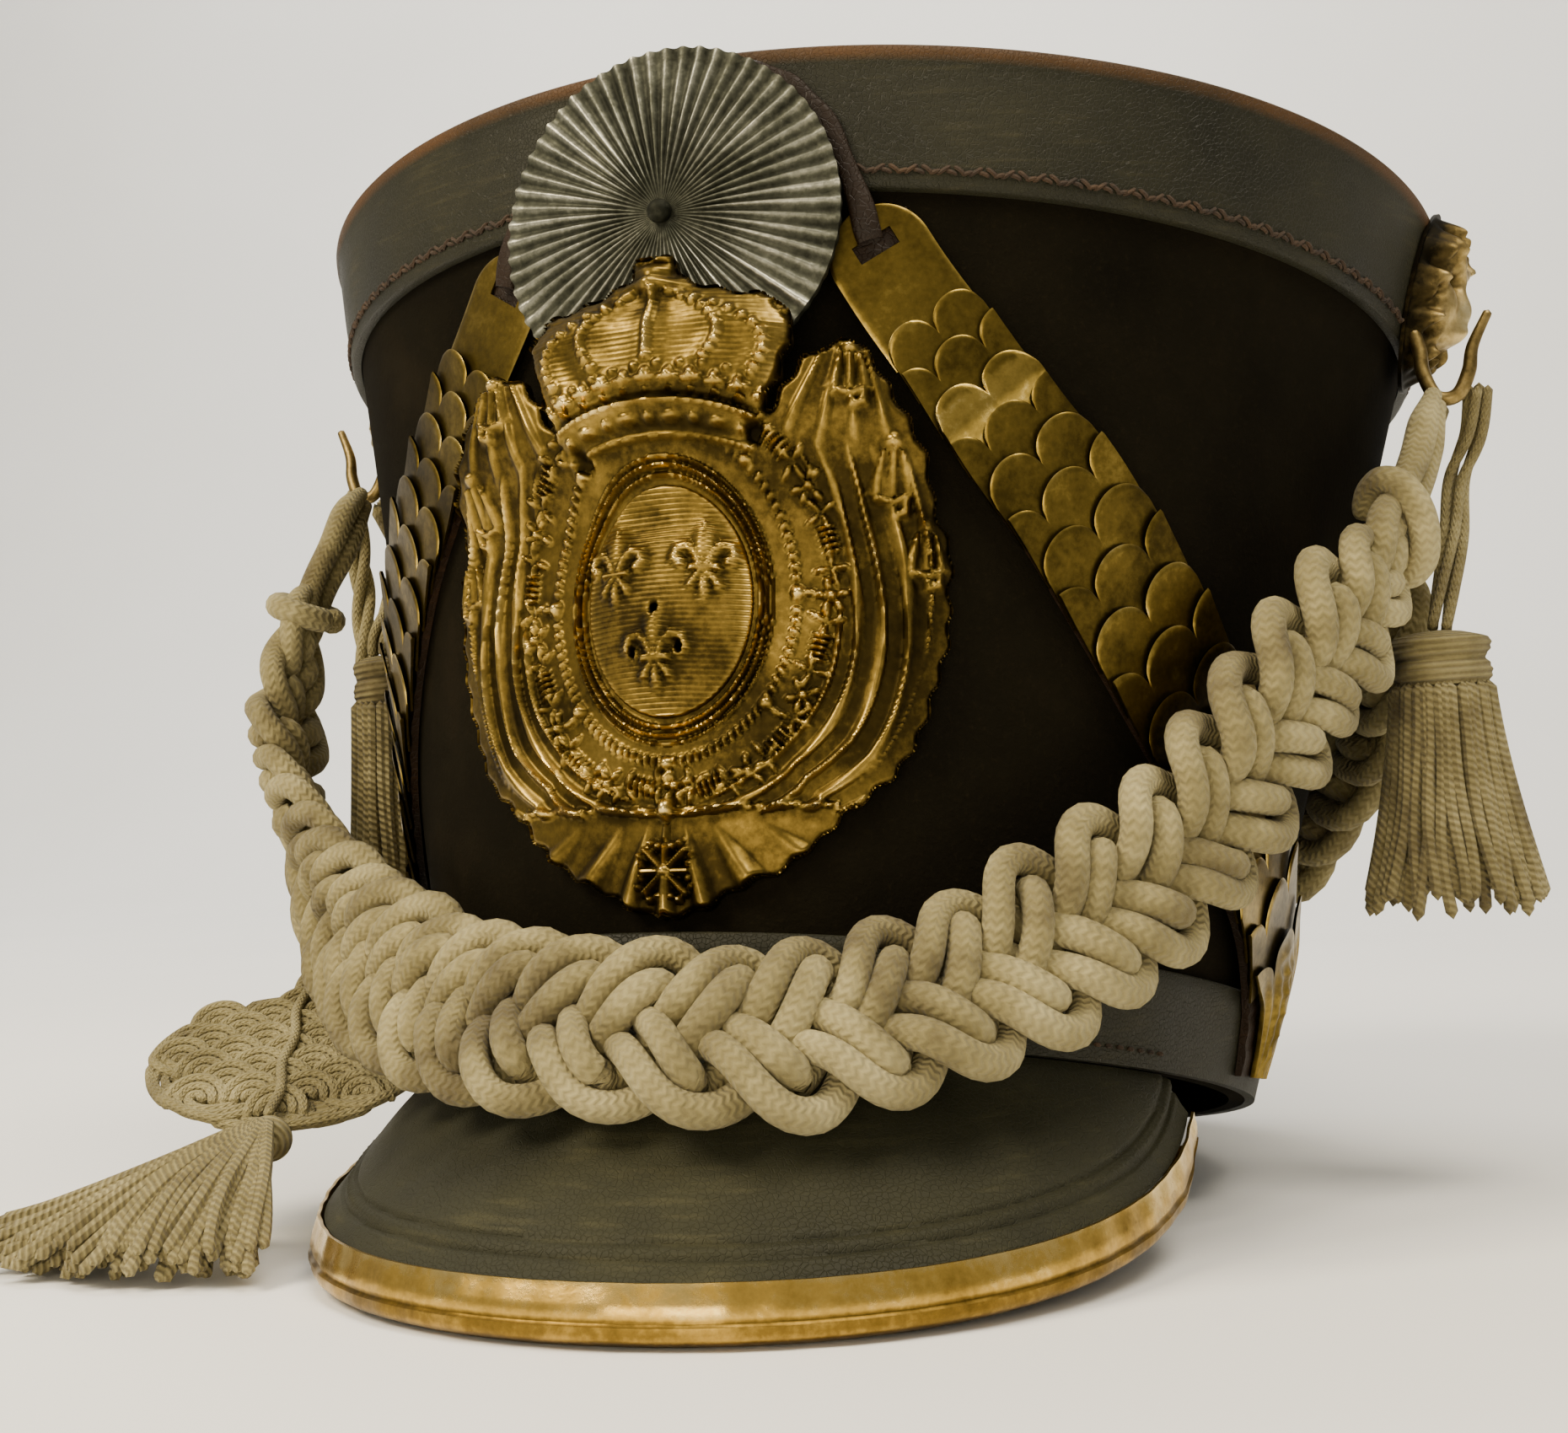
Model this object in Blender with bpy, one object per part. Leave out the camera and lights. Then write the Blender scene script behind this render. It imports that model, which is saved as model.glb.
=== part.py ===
"""A bell-topped shako with its peak, chin scales, front plate, cockade and plaited cords.

Metres, +Z up. The hat is made in its own upright frame: the origin is at the middle of the
base, the front faces -Y and the wearer's left is +X. It is then leaned back on its peak and
the back of its rim, as it rests by itself on a table.
"""
import math

import bmesh
import bpy
import numpy as np
from mathutils import Vector

# Felt body and its leather
TOP_HALF_WIDTH = 0.1250
TOP_HALF_DEPTH = 0.1220
BASE_HALF_WIDTH = 0.0822
BASE_HALF_DEPTH = 0.1033
BASE_SHIFT = -0.0035
BODY_HEIGHT = 0.1814
FELT_WALL = 0.0030
BAND_WALL = 0.0020
TOP_BAND_HEIGHT = 0.0275
BASE_BAND_HEIGHT = 0.0180
TOP_DISC_WALL = 0.0025
TOP_DISC_DROP = 0.0020
GAP = 0.0003

# Peak and its brass edging
PEAK_HALF_ANGLE = math.radians(71.3)
PEAK_END_ANGLE = math.radians(67.5)
PEAK_REACH = 0.0384
PEAK_DROP = 0.0424
PEAK_WALL = 0.0028
LIP_HEIGHT = 0.0078
EDGING_WALL = 0.0006
EDGING_BACK = 0.0050

# Cockade
COCKADE_RADIUS = 0.0330
COCKADE_HEIGHT_AT = 0.1490
COCKADE_WALL = 0.0012
COCKADE_RIDGE = 0.0009
COCKADE_RIDGES = 24
COCKADE_DOME = 0.0020
COCKADE_STAND = 0.0024
COCKADE_SHANK = 0.0034
COCKADE_FOLLOW = 0.6
STUD_RADIUS = 0.0023

# Front plate
PLATE_HEIGHT = 0.1190
PLATE_HALF_WIDTH = 0.0510
PLATE_BOTTOM_AT = 0.0205
PLATE_WALL = 0.0008
PLATE_STAND_LOW = 0.0004
PLATE_STAND_HIGH = 0.0084
OVAL_HALF_WIDTH = 0.0190
OVAL_HALF_HEIGHT = 0.0250

# Chin scales on their leather straps
STRAP_WALL = 0.0015
SCALE_WALL = 0.0005
SCALE_LAP_GAP = 0.0005
SCALE_LOBE = 0.22
STRAP_MARGIN = 0.0010
SCALE_COUNT = 16
SCALE_PITCH_TOP = 0.0070
SCALE_PITCH_GROWTH = 0.00030
SCALE_TUCK = 0.0015
SLOT_PLATE_LENGTH = 0.0230
SLOT_WIDTH = 0.0080
SLOT_LENGTH = 0.0036
SLOT_AT = 0.0058
END_PLATE_TIP = 0.0120
BAND_STEP_START = 0.0340
BAND_STEP_RUN = 0.0280
LACE_WIDTH = 0.0050
LACE_WALL = 0.0018

# Side bosses with their hooks
BOSS_HALF_WIDTH = 0.0115
BOSS_HALF_HEIGHT = 0.0195
BOSS_RELIEF = 0.0105
BOSS_AT = 0.1650
HOOK_WIRE = 0.0030
HOOK_FORWARD = 0.0080

# Cotton cords
PLAIT_WIDTH = 0.0350
PLAIT_THICK = 0.0160
PLAIT_END_WIDTH = 0.0062
PLAIT_END_THICK = 0.0070
PLAIT_TAPER = 0.0300
REAR_TAPER = 0.0700
REAR_OFF_WALL = 0.0010
LACE_CORD = 0.0060
RAQUETTE_HALF_WIDTH = 0.0300
RAQUETTE_HALF_LENGTH = 0.0260
RAQUETTE_THICK = 0.0070
TASSEL_HEAD_RADIUS = 0.0098
TASSEL_HEAD_LENGTH = 0.0100
TASSEL_SKIRT_RADIUS = 0.0190
TASSEL_SKIRT_LENGTH = 0.0470
TASSEL_LOCKS = 12
TASSEL_KNOT_GAP = 0.0011
SPREAD_HEAD_DROP = 0.0022
SMALL_TASSEL_HEAD_RADIUS = 0.0061
SMALL_TASSEL_SKIRT_RADIUS = 0.0088

AROUND = 54

# Chin strap route from its slotted top to the base rim: angle from the front in degrees,
# height as a share of the body, width as a share of the widest place
STRAP_WIDTH = 0.0290
STRAP_ROUTE = [
    # angle, height, width
    (16.8, 0.822, 0.66),
    (21.8, 0.742, 0.67),
    (27.0, 0.675, 0.70),
    (33.2, 0.604, 0.78),
    (40.2, 0.539, 0.86),
    (48.3, 0.458, 0.93),
    (57.6, 0.374, 0.98),
    (68.5, 0.292, 1.00),
    (79.5, 0.202, 1.00),
    (86.5, 0.120, 0.97),
    (88.5, 0.060, 0.90),
    (89.0, 0.012, 0.80),
]

# Half outline of the front plate from its lowest point round to the orb on the crown:
# across as a share of the half width, up as a share of the height from the oval's middle
PLATE_OUTLINE = [
    # across, up
    (0.00, -0.474),
    (0.14, -0.462),
    (0.30, -0.425),
    (0.45, -0.392),
    (0.57, -0.352),
    (0.60, -0.325),
    (0.80, -0.262),
    (0.93, -0.150),
    (1.00, -0.020),
    (1.00, 0.080),
    (0.92, 0.190),
    (0.82, 0.285),
    (0.67, 0.385),
    (0.53, 0.360),
    (0.37, 0.262),
    (0.41, 0.310),
    (0.49, 0.400),
    (0.42, 0.447),
    (0.22, 0.468),
    (0.09, 0.484),
    (0.08, 0.520),
    (0.00, 0.526),
]
OVAL_SHARE = 0.474

# Chosen routes of the cords, metres: the front plait in the hat's frame from the wearer's
# right hook to the left one
FRONT_PLAIT_ROUTE = [
    (-0.1254, -0.0113, 0.1399), (-0.1262, -0.0205, 0.1240), (-0.1290, -0.0250, 0.1130),
    (-0.1300, -0.0290, 0.1000), (-0.1320, -0.0280, 0.0870), (-0.1310, -0.0290, 0.0740),
    (-0.1250, -0.0330, 0.0600), (-0.1150, -0.0410, 0.0470), (-0.0950, -0.0610, 0.0295),
    (-0.0700, -0.0870, 0.0155), (-0.0450, -0.1070, 0.0060), (-0.0220, -0.1210, 0.0010),
    (0.0040, -0.1260, -0.0015), (0.0260, -0.1210, -0.0010), (0.0470, -0.1080, 0.0055),
    (0.0650, -0.0930, 0.0178), (0.0800, -0.0780, 0.0321), (0.0900, -0.0675, 0.0466),
    (0.0990, -0.0590, 0.0643), (0.1065, -0.0495, 0.0775), (0.1135, -0.0385, 0.0915),
    (0.1190, -0.0250, 0.1120), (0.1254, -0.0113, 0.1399),
]
# The rear plait on the back of the body, its wearer's left half: angle from the front in
# degrees, height, metres, and the middle's distance off the wall as a share of half its thickness
REAR_PLAIT_HALF = [
    (88.2, 0.1403, 2.75), (91.5, 0.1300, 1.4), (96.0, 0.1160, 1.0), (103.0, 0.1010, 1.0),
    (112.0, 0.0870, 1.0), (123.0, 0.0750, 1.0), (136.0, 0.0640, 1.0), (150.0, 0.0560, 1.0),
    (165.0, 0.0510, 1.0), (180.0, 0.0490, 1.0),
]
# The other cords and what hangs on them, on the table: X and Y from below the base's middle
LEFT_TASSEL_ROUTE = [
    (0.1330, 0.0259, 0.1629), (0.1311, 0.0292, 0.1530), (0.1272, 0.0305, 0.1440),
    (0.1262, 0.0265, 0.1320), (0.1243, 0.0225, 0.1210), (0.1225, 0.0200, 0.1118),
]
RIGHT_TASSEL_ROUTE = [
    (-0.1185, 0.0217, 0.1643), (-0.1173, 0.0197, 0.1560), (-0.1162, 0.0175, 0.1470),
    (-0.1145, 0.0130, 0.1375), (-0.1130, 0.0060, 0.1300), (-0.1126, 0.0000, 0.1235),
    (-0.1125, -0.0006, 0.1190),
]
RAQUETTE_ROUTE = [
    (-0.1325, 0.0259, 0.1629), (-0.1348, 0.0300, 0.1530), (-0.1345, 0.0315, 0.1400), (-0.1335, 0.0310, 0.1200),
    (-0.1310, 0.0300, 0.1000), (-0.1280, 0.0265, 0.0820), (-0.1250, 0.0175, 0.0665),
    (-0.1210, 0.0010, 0.0555), (-0.1160, -0.0220, 0.0490), (-0.1112, -0.0380, 0.0462),
    (-0.1079, -0.0456, 0.0438),
]
RAQUETTE_TOP = (-0.1080, -0.0450, 0.0440)
RAQUETTE_FOOT = (-0.0900, -0.0905, 0.0225)
SPREAD_TASSEL_FAN = [
    # direction in degrees from +X, reach, height of the tips, metres
    (186.0, 0.0560, 0.0045), (200.0, 0.0570, 0.0040), (214.0, 0.0550, 0.0035),
    (228.0, 0.0500, 0.0035), (242.0, 0.0450, 0.0035), (256.0, 0.0410, 0.0035),
    (270.0, 0.0385, 0.0035), (284.0, 0.0375, 0.0040), (298.0, 0.0365, 0.0045),
]


def clear_scene():
    for old in list(bpy.data.objects):
        bpy.data.objects.remove(old, do_unlink=True)


def make_material(name, colour, roughness, metallic=0.0):
    material = bpy.data.materials.new(name)
    material.use_nodes = True
    shader = material.node_tree.nodes["Principled BSDF"]
    shader.inputs["Base Color"].default_value = (*colour, 1.0)
    shader.inputs["Roughness"].default_value = roughness
    shader.inputs["Metallic"].default_value = metallic
    return material


def make_object(name, verts, faces, material, parent):
    """One closed mesh: doubles are merged, faces turned outwards, round forms shaded smooth."""
    mesh = bpy.data.meshes.new(name)
    mesh.from_pydata([tuple(map(float, v)) for v in verts], [], faces)
    work = bmesh.new()
    work.from_mesh(mesh)
    bmesh.ops.remove_doubles(work, verts=work.verts, dist=1e-6)
    loose = [edge for edge in work.edges if not edge.link_faces]
    bmesh.ops.delete(work, geom=loose, context="EDGES")
    bmesh.ops.recalc_face_normals(work, faces=work.faces)
    work.to_mesh(mesh)
    work.free()
    mesh.materials.append(material)
    mesh.shade_smooth()
    mesh.set_sharp_from_angle(angle=math.radians(35))
    thing = bpy.data.objects.new(name, mesh)
    thing.parent = parent
    bpy.context.collection.objects.link(thing)
    return thing


def closed_sheet(name, top, bottom, material, parent, wrap=False, centre=False, holes=()):
    """A wall between two grids of points, [along][across], closed along every free edge."""
    top = np.asarray(top)
    bottom = np.asarray(bottom)
    rows, cols = top.shape[:2]
    verts = np.concatenate([top.reshape(-1, 3), bottom.reshape(-1, 3)])
    under = rows * cols
    faces = []
    edges = {}
    for i in range(rows if wrap else rows - 1):
        for j in range(cols - 1):
            if (i, j) in holes:
                continue
            k = (i + 1) % rows
            ring = [i * cols + j, k * cols + j, k * cols + j + 1, i * cols + j + 1]
            faces.append(ring)
            faces.append([v + under for v in reversed(ring)])
            for a, b in zip(ring, ring[1:] + ring[:1]):
                if (b, a) in edges:
                    del edges[(b, a)]
                else:
                    edges[(a, b)] = True
    for a, b in edges:
        if centre and a % cols == 0 and b % cols == 0:
            continue
        faces.append([b, a, a + under, b + under])
    return make_object(name, verts, faces, material, parent)


def swept(name, loops, material, parent, ring=False):
    """A solid swept through closed loops of points; ring joins the last loop to the first."""
    loops = np.asarray(loops)
    count, sides = loops.shape[:2]
    faces = []
    for i in range(count if ring else count - 1):
        k = (i + 1) % count
        for j in range(sides):
            n = (j + 1) % sides
            faces.append([i * sides + j, i * sides + n, k * sides + n, k * sides + j])
    if not ring:
        faces.append(list(range(sides)))
        faces.append([(count - 1) * sides + j for j in reversed(range(sides))])
    return make_object(name, loops.reshape(-1, 3), faces, material, parent)


def smooth_route(points, count):
    """Points evenly spaced along a Catmull-Rom curve through the given rows of numbers."""
    rows = np.asarray(points, float)
    rows = np.concatenate([[2 * rows[0] - rows[1]], rows, [2 * rows[-1] - rows[-2]]])
    fine = []
    for p0, p1, p2, p3 in zip(rows, rows[1:], rows[2:], rows[3:]):
        t = np.linspace(0, 1, 20, endpoint=False)[:, None]
        fine.append(0.5 * (2 * p1 + (p2 - p0) * t + (2 * p0 - 5 * p1 + 4 * p2 - p3) * t ** 2
                           + (3 * p1 - p0 - 3 * p2 + p3) * t ** 3))
    fine = np.concatenate(fine + [rows[-2][None]])
    return even_spacing(fine, count)


def even_spacing(fine, count):
    step = np.linalg.norm(np.diff(fine[:, :3], axis=0), axis=1)
    along = np.concatenate([[0.0], np.cumsum(step)])
    return np.stack([np.interp(np.linspace(0, along[-1], count), along, fine[:, c])
                     for c in range(fine.shape[1])], axis=1)


def smooth_step(x):
    x = np.clip(x, 0.0, 1.0)
    return x * x * (3 - 2 * x)


def bell_sizes(z):
    """Half width, half depth and the middle's place in Y of the leather's outer face."""
    share = z / BODY_HEIGHT
    half_width = BASE_HALF_WIDTH + (TOP_HALF_WIDTH - BASE_HALF_WIDTH) * share
    half_depth = BASE_HALF_DEPTH + (TOP_HALF_DEPTH - BASE_HALF_DEPTH) * share
    return half_width, half_depth, BASE_SHIFT * (1 - share)


def on_bell(angle, z, off=0.0):
    """A point at an angle from the front, off metres outside the leather's outer face."""
    half_width, half_depth, middle = bell_sizes(z)
    return np.array([(half_width + off) * math.sin(angle),
                     middle - (half_depth + off) * math.cos(angle), z])


def arc_per_radian(angle, z):
    half_width, half_depth, _ = bell_sizes(z)
    return math.hypot(half_width * math.cos(angle), half_depth * math.sin(angle))


def ring_wall(name, profile, material, parent):
    """A wall all round the body from a closed profile of (off, z)."""
    loops = [[on_bell(2 * math.pi * i / AROUND, z, off) for off, z in profile]
             for i in range(AROUND)]
    return swept(name, loops, material, parent, ring=True)


def make_body(material, leather, parent):
    """Felt wall, leather bands round its top and base, and the leather top disc."""
    felt_out = -(BAND_WALL + GAP)
    felt_in = felt_out - FELT_WALL
    disc_top = BODY_HEIGHT - TOP_DISC_DROP
    disc_low = disc_top - TOP_DISC_WALL
    felt_top = disc_low - GAP
    ring_wall("felt_body", [(felt_out, 0.0), (felt_out, felt_top), (felt_in, felt_top),
                            (felt_in, 0.0)], material, parent)
    band_low = BODY_HEIGHT - TOP_BAND_HEIGHT
    ring_wall("top_band", [(0.0, band_low), (0.0, BODY_HEIGHT), (-BAND_WALL, BODY_HEIGHT),
                           (-BAND_WALL, band_low)], leather, parent)
    ring_wall("base_band", [(0.0, 0.0), (0.0, BASE_BAND_HEIGHT),
                            (-BAND_WALL, BASE_BAND_HEIGHT), (-BAND_WALL, 0.0)],
              leather, parent)
    loops = [[on_bell(2 * math.pi * i / AROUND, z, felt_out) for i in range(AROUND)]
             for z in (disc_low, disc_top)]
    swept("top_disc", loops, leather, parent)


def peak_frame(angle):
    """Root, outward direction, reach and drop of the peak at an angle from the front."""
    root = on_bell(angle, 0.0)
    out = np.array([math.sin(angle) / BASE_HALF_WIDTH, -math.cos(angle) / BASE_HALF_DEPTH, 0.0])
    out /= np.linalg.norm(out)
    share = math.cos(angle * (math.pi / 2) / PEAK_HALF_ANGLE)
    return root, out, PEAK_REACH * share ** 1.04, PEAK_DROP * share ** 0.71, share


def peak_section(angle, steps=5):
    """Places of (out, down) along the leather, and its lip's start and direction."""
    _, _, reach, drop, share = peak_frame(angle)
    start = -BAND_WALL
    rows = []
    for t in np.linspace(0.0, 1.0, steps):
        rows.append((start + (reach - start) * t,
                     -GAP - (drop - GAP) * (0.84 * t + 0.16 * t * t)))
    lip = LIP_HEIGHT * min(1.0, 0.45 + 2.2 * share)
    lean = math.radians(9)
    down = np.array([math.sin(lean), -math.cos(lean)])
    rows.append(tuple(np.array(rows[-1]) + down * lip))
    return np.array(rows), down, lip


def make_peak(leather, brass, parent):
    angles = np.linspace(-PEAK_END_ANGLE, PEAK_END_ANGLE, 27)
    up = np.array([0.0, 0.0, 1.0])
    top, bottom, edging = [], [], []
    for angle in angles:
        root, out, _, _, _ = peak_frame(angle)
        rows, down, lip = peak_section(angle)
        run = np.gradient(rows, axis=0)
        run /= np.linalg.norm(run, axis=1)[:, None]
        inward = np.stack([run[:, 1], -run[:, 0]], axis=1)
        inner = rows + inward * PEAK_WALL
        top.append([root + out * o + up * z for o, z in rows])
        bottom.append([root + out * o + up * z for o, z in inner])
        face = np.array([-down[1], down[0]])
        start = rows[-2]
        inside = PEAK_WALL + 2 * GAP
        foot = lip + 2 * GAP + EDGING_WALL
        back = max(foot - EDGING_BACK, 0.35 * foot)
        section = [(0.0, 2 * GAP), (0.0, 2 * GAP + EDGING_WALL), (foot, 2 * GAP + EDGING_WALL),
                   (foot, -inside - EDGING_WALL), (back, -inside - EDGING_WALL),
                   (back, -inside), (foot - EDGING_WALL, -inside),
                   (foot - EDGING_WALL, 2 * GAP)]
        places = [start + down * s + face * n for s, n in section]
        edging.append([root + out * o + up * z for o, z in places])
    closed_sheet("peak", top, bottom, leather, parent)
    swept("peak_edging", edging, brass, parent)
    return np.array(edging).reshape(-1, 3)


def on_front(u, v, off, follow=1.0):
    """A point at u across and v up on the front, its curve following the bell by a share."""
    half_width = bell_sizes(v)[0]
    bent = on_bell(u / half_width, v, off)
    middle = on_bell(0.0, v, off)
    flat = np.array([u, middle[1], v])
    return follow * bent + (1 - follow) * flat


def make_cockade(metal, parent):
    """A ribbed dished disc on a short shank, with a ball stud soldered at its middle."""
    columns = 2 * COCKADE_RIDGES
    felt_face = -BAND_WALL
    top, bottom = [], []
    for i in range(columns):
        angle = 2 * math.pi * i / columns
        ridge = COCKADE_RIDGE if i % 2 else 0.0
        rows = [(0.0, COCKADE_DOME, felt_face), (COCKADE_SHANK, COCKADE_DOME, felt_face),
                (COCKADE_SHANK * 1.25, COCKADE_DOME - 0.2 * COCKADE_WALL, COCKADE_STAND),
                (COCKADE_RADIUS, 0.0, COCKADE_STAND)]
        line_top, line_low = [], []
        for radius, dome, low in rows:
            u = radius * math.sin(angle)
            v = COCKADE_HEIGHT_AT + radius * math.cos(angle)
            rise = ridge * smooth_step(radius / COCKADE_RADIUS * 1.6)
            line_top.append(on_front(u, v, COCKADE_STAND + COCKADE_WALL + dome + rise,
                                     COCKADE_FOLLOW))
            line_low.append(on_front(u, v, low, COCKADE_FOLLOW))
        top.append(line_top)
        bottom.append(line_low)
    disc = closed_sheet("cockade", top, bottom, metal, parent, wrap=True, centre=True)
    seat = on_front(0.0, COCKADE_HEIGHT_AT, COCKADE_STAND + COCKADE_WALL + COCKADE_DOME)
    ball = bmesh.new()
    bmesh.ops.create_uvsphere(ball, u_segments=8, v_segments=6, radius=STUD_RADIUS)
    bmesh.ops.translate(ball, verts=ball.verts, vec=Vector(seat) + Vector((0, -STUD_RADIUS / 2, 0)))
    mesh = bpy.data.meshes.new("stud_shape")
    ball.to_mesh(mesh)
    ball.free()
    stud = bpy.data.objects.new("stud_shape", mesh)
    stud.parent = parent
    stud.hide_render = True
    stud.display_type = "WIRE"
    bpy.context.collection.objects.link(stud)
    join = disc.modifiers.new("solder", "BOOLEAN")
    join.operation = "UNION"
    join.object = stud


def plate_outline():
    """The whole outline as (across, up) from the oval's middle, round from the lowest point."""
    half = [(a * PLATE_HALF_WIDTH, b * PLATE_HEIGHT) for a, b in PLATE_OUTLINE]
    return half + [(-a, b) for a, b in reversed(half[1:-1])]


def plate_rise(u, v, share, angle):
    """Height of the stamped forms over the plate's ground."""
    oval = math.hypot(u / OVAL_HALF_WIDTH, v / OVAL_HALF_HEIGHT)
    if oval < 0.9:
        return 0.0018 + 0.0032 * (1 - oval * oval)
    if oval < 1.12:
        return 0.0034
    if oval < 1.3:
        return 0.0014
    if oval < 1.55:
        return 0.0030
    if v > 0.25 * PLATE_HEIGHT and abs(u) < 0.5 * PLATE_HALF_WIDTH:
        return 0.0012 + 0.0042 * math.cos(u / (0.5 * PLATE_HALF_WIDTH) * math.pi / 2)
    fold = 0.5 + 0.5 * math.cos(angle * 14)
    return 0.0006 + 0.0022 * fold * (1 - 0.6 * share)


def make_plate(brass, parent):
    """The stamped plate: a thin shell over the felt with its main forms raised."""
    middle = PLATE_BOTTOM_AT + OVAL_SHARE * PLATE_HEIGHT
    outline = plate_outline()
    fine = []
    for (u0, v0), (u1, v1) in zip(outline, outline[1:] + outline[:1]):
        fine.append((u0, v0))
        if math.hypot(u1 - u0, v1 - v0) > 0.105 * PLATE_HEIGHT:
            fine.append(((u0 + u1) / 2, (v0 + v1) / 2))
    rings = [0.0, 0.55, 0.88, 0.96, 1.08, 1.16, 1.30, 1.40, 1.52]
    outer = [0.12, 0.45, 0.78, 1.0]
    top, bottom = [], []
    for u1, v1 in fine:
        reach = math.hypot(u1 / OVAL_HALF_WIDTH, v1 / OVAL_HALF_HEIGHT)
        inner = [r / reach for r in rings]
        last = inner[-1]
        shares = inner + [last + (1 - last) * s for s in outer]
        line_top, line_low = [], []
        for share in shares:
            u, v = u1 * share, v1 * share
            up = (v + OVAL_SHARE * PLATE_HEIGHT) / PLATE_HEIGHT
            stand = PLATE_STAND_LOW + (PLATE_STAND_HIGH - PLATE_STAND_LOW) * smooth_step(
                (up - 0.58) / 0.18)
            rise = plate_rise(u, v, share, math.atan2(v, u))
            line_top.append(on_front(u, middle + v, stand - BAND_WALL + PLATE_WALL + rise))
            line_low.append(on_front(u, middle + v, stand - BAND_WALL))
        top.append(line_top)
        bottom.append(line_low)
    keep = [0, 2, 5, 8, 10, 12]
    wide_low = [[line[j] for j in keep] for line in bottom]
    return front_shell("front_plate", top, wide_low, keep, brass, parent)


def front_shell(name, top, low, keep, material, parent):
    """A wrapped disc whose back has fewer rings than its front."""
    top = np.asarray(top)
    low = np.asarray(low)
    count, rings = top.shape[:2]
    backs = low.shape[1]
    verts = np.concatenate([top.reshape(-1, 3), low.reshape(-1, 3)])
    under = count * rings
    faces = []
    for i in range(count):
        k = (i + 1) % count
        for j in range(rings - 1):
            faces.append([i * rings + j, k * rings + j, k * rings + j + 1, i * rings + j + 1])
        for j in range(backs - 1):
            faces.append([under + i * backs + j, under + i * backs + j + 1,
                          under + k * backs + j + 1, under + k * backs + j])
        faces.append([i * rings + rings - 1, k * rings + rings - 1,
                      under + k * backs + backs - 1, under + i * backs + backs - 1])
    return make_object(name, verts, faces, material, parent)


def strap_table():
    """The strap's route read evenly: distance along, angle, height and width."""
    rows = []
    for degrees, height, width in STRAP_ROUTE:
        angle = math.radians(degrees)
        z = height * BODY_HEIGHT
        rows.append((*on_bell(angle, z), angle, z, width * STRAP_WIDTH))
    fine = smooth_route(rows, 200)
    step = np.linalg.norm(np.diff(fine[:, :3], axis=0), axis=1)
    along = np.concatenate([[0.0], np.cumsum(step)])
    return along, fine[:, 3], fine[:, 4], fine[:, 5]


def strap_place(table, d, w):
    """Angle and height of the point d along the strap from its top and w across it."""
    along, angles, heights, _ = table
    angle = float(np.interp(d, along, angles))
    z = float(np.interp(d, along, heights))
    ahead = min(d + 0.002, along[-1])
    behind = ahead - 0.004
    turn = float(np.interp(ahead, along, angles) - np.interp(behind, along, angles))
    fall = float(np.interp(ahead, along, heights) - np.interp(behind, along, heights))
    arc = arc_per_radian(angle, z)
    run = np.array([turn * arc, fall])
    run /= np.linalg.norm(run)
    return angle - w * run[1] / arc, z + w * run[0]


def on_strap(table, side, d, w, off):
    """A point of the strap off metres above the felt, on one side of the hat."""
    angle, z = strap_place(table, d, w)
    place = on_bell(angle, z, off - BAND_WALL - GAP)
    place[0] *= side
    return place


def strap_grid(table, side, ds, ws, low, high):
    """Two grids over the strap for a wall between two heights, each a function of (d, w)."""
    top = [[on_strap(table, side, d, w, high(d, w)) for w in ws(d)] for d in ds]
    bottom = [[on_strap(table, side, d, w, low(d, w)) for w in ws(d)] for d in ds]
    return np.array(top), np.array(bottom)


def strap_width(table, d):
    return float(np.interp(d, table[0], table[3]))


def strap_base(table):
    """Height of the strap's underside over the felt: it steps over the base band."""
    def base(d, w):
        z = strap_place(table, d, w)[1]
        step = smooth_step((BASE_BAND_HEIGHT + BAND_STEP_START - z) / BAND_STEP_RUN)
        return GAP + (BAND_WALL + GAP) * step
    return base


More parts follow.
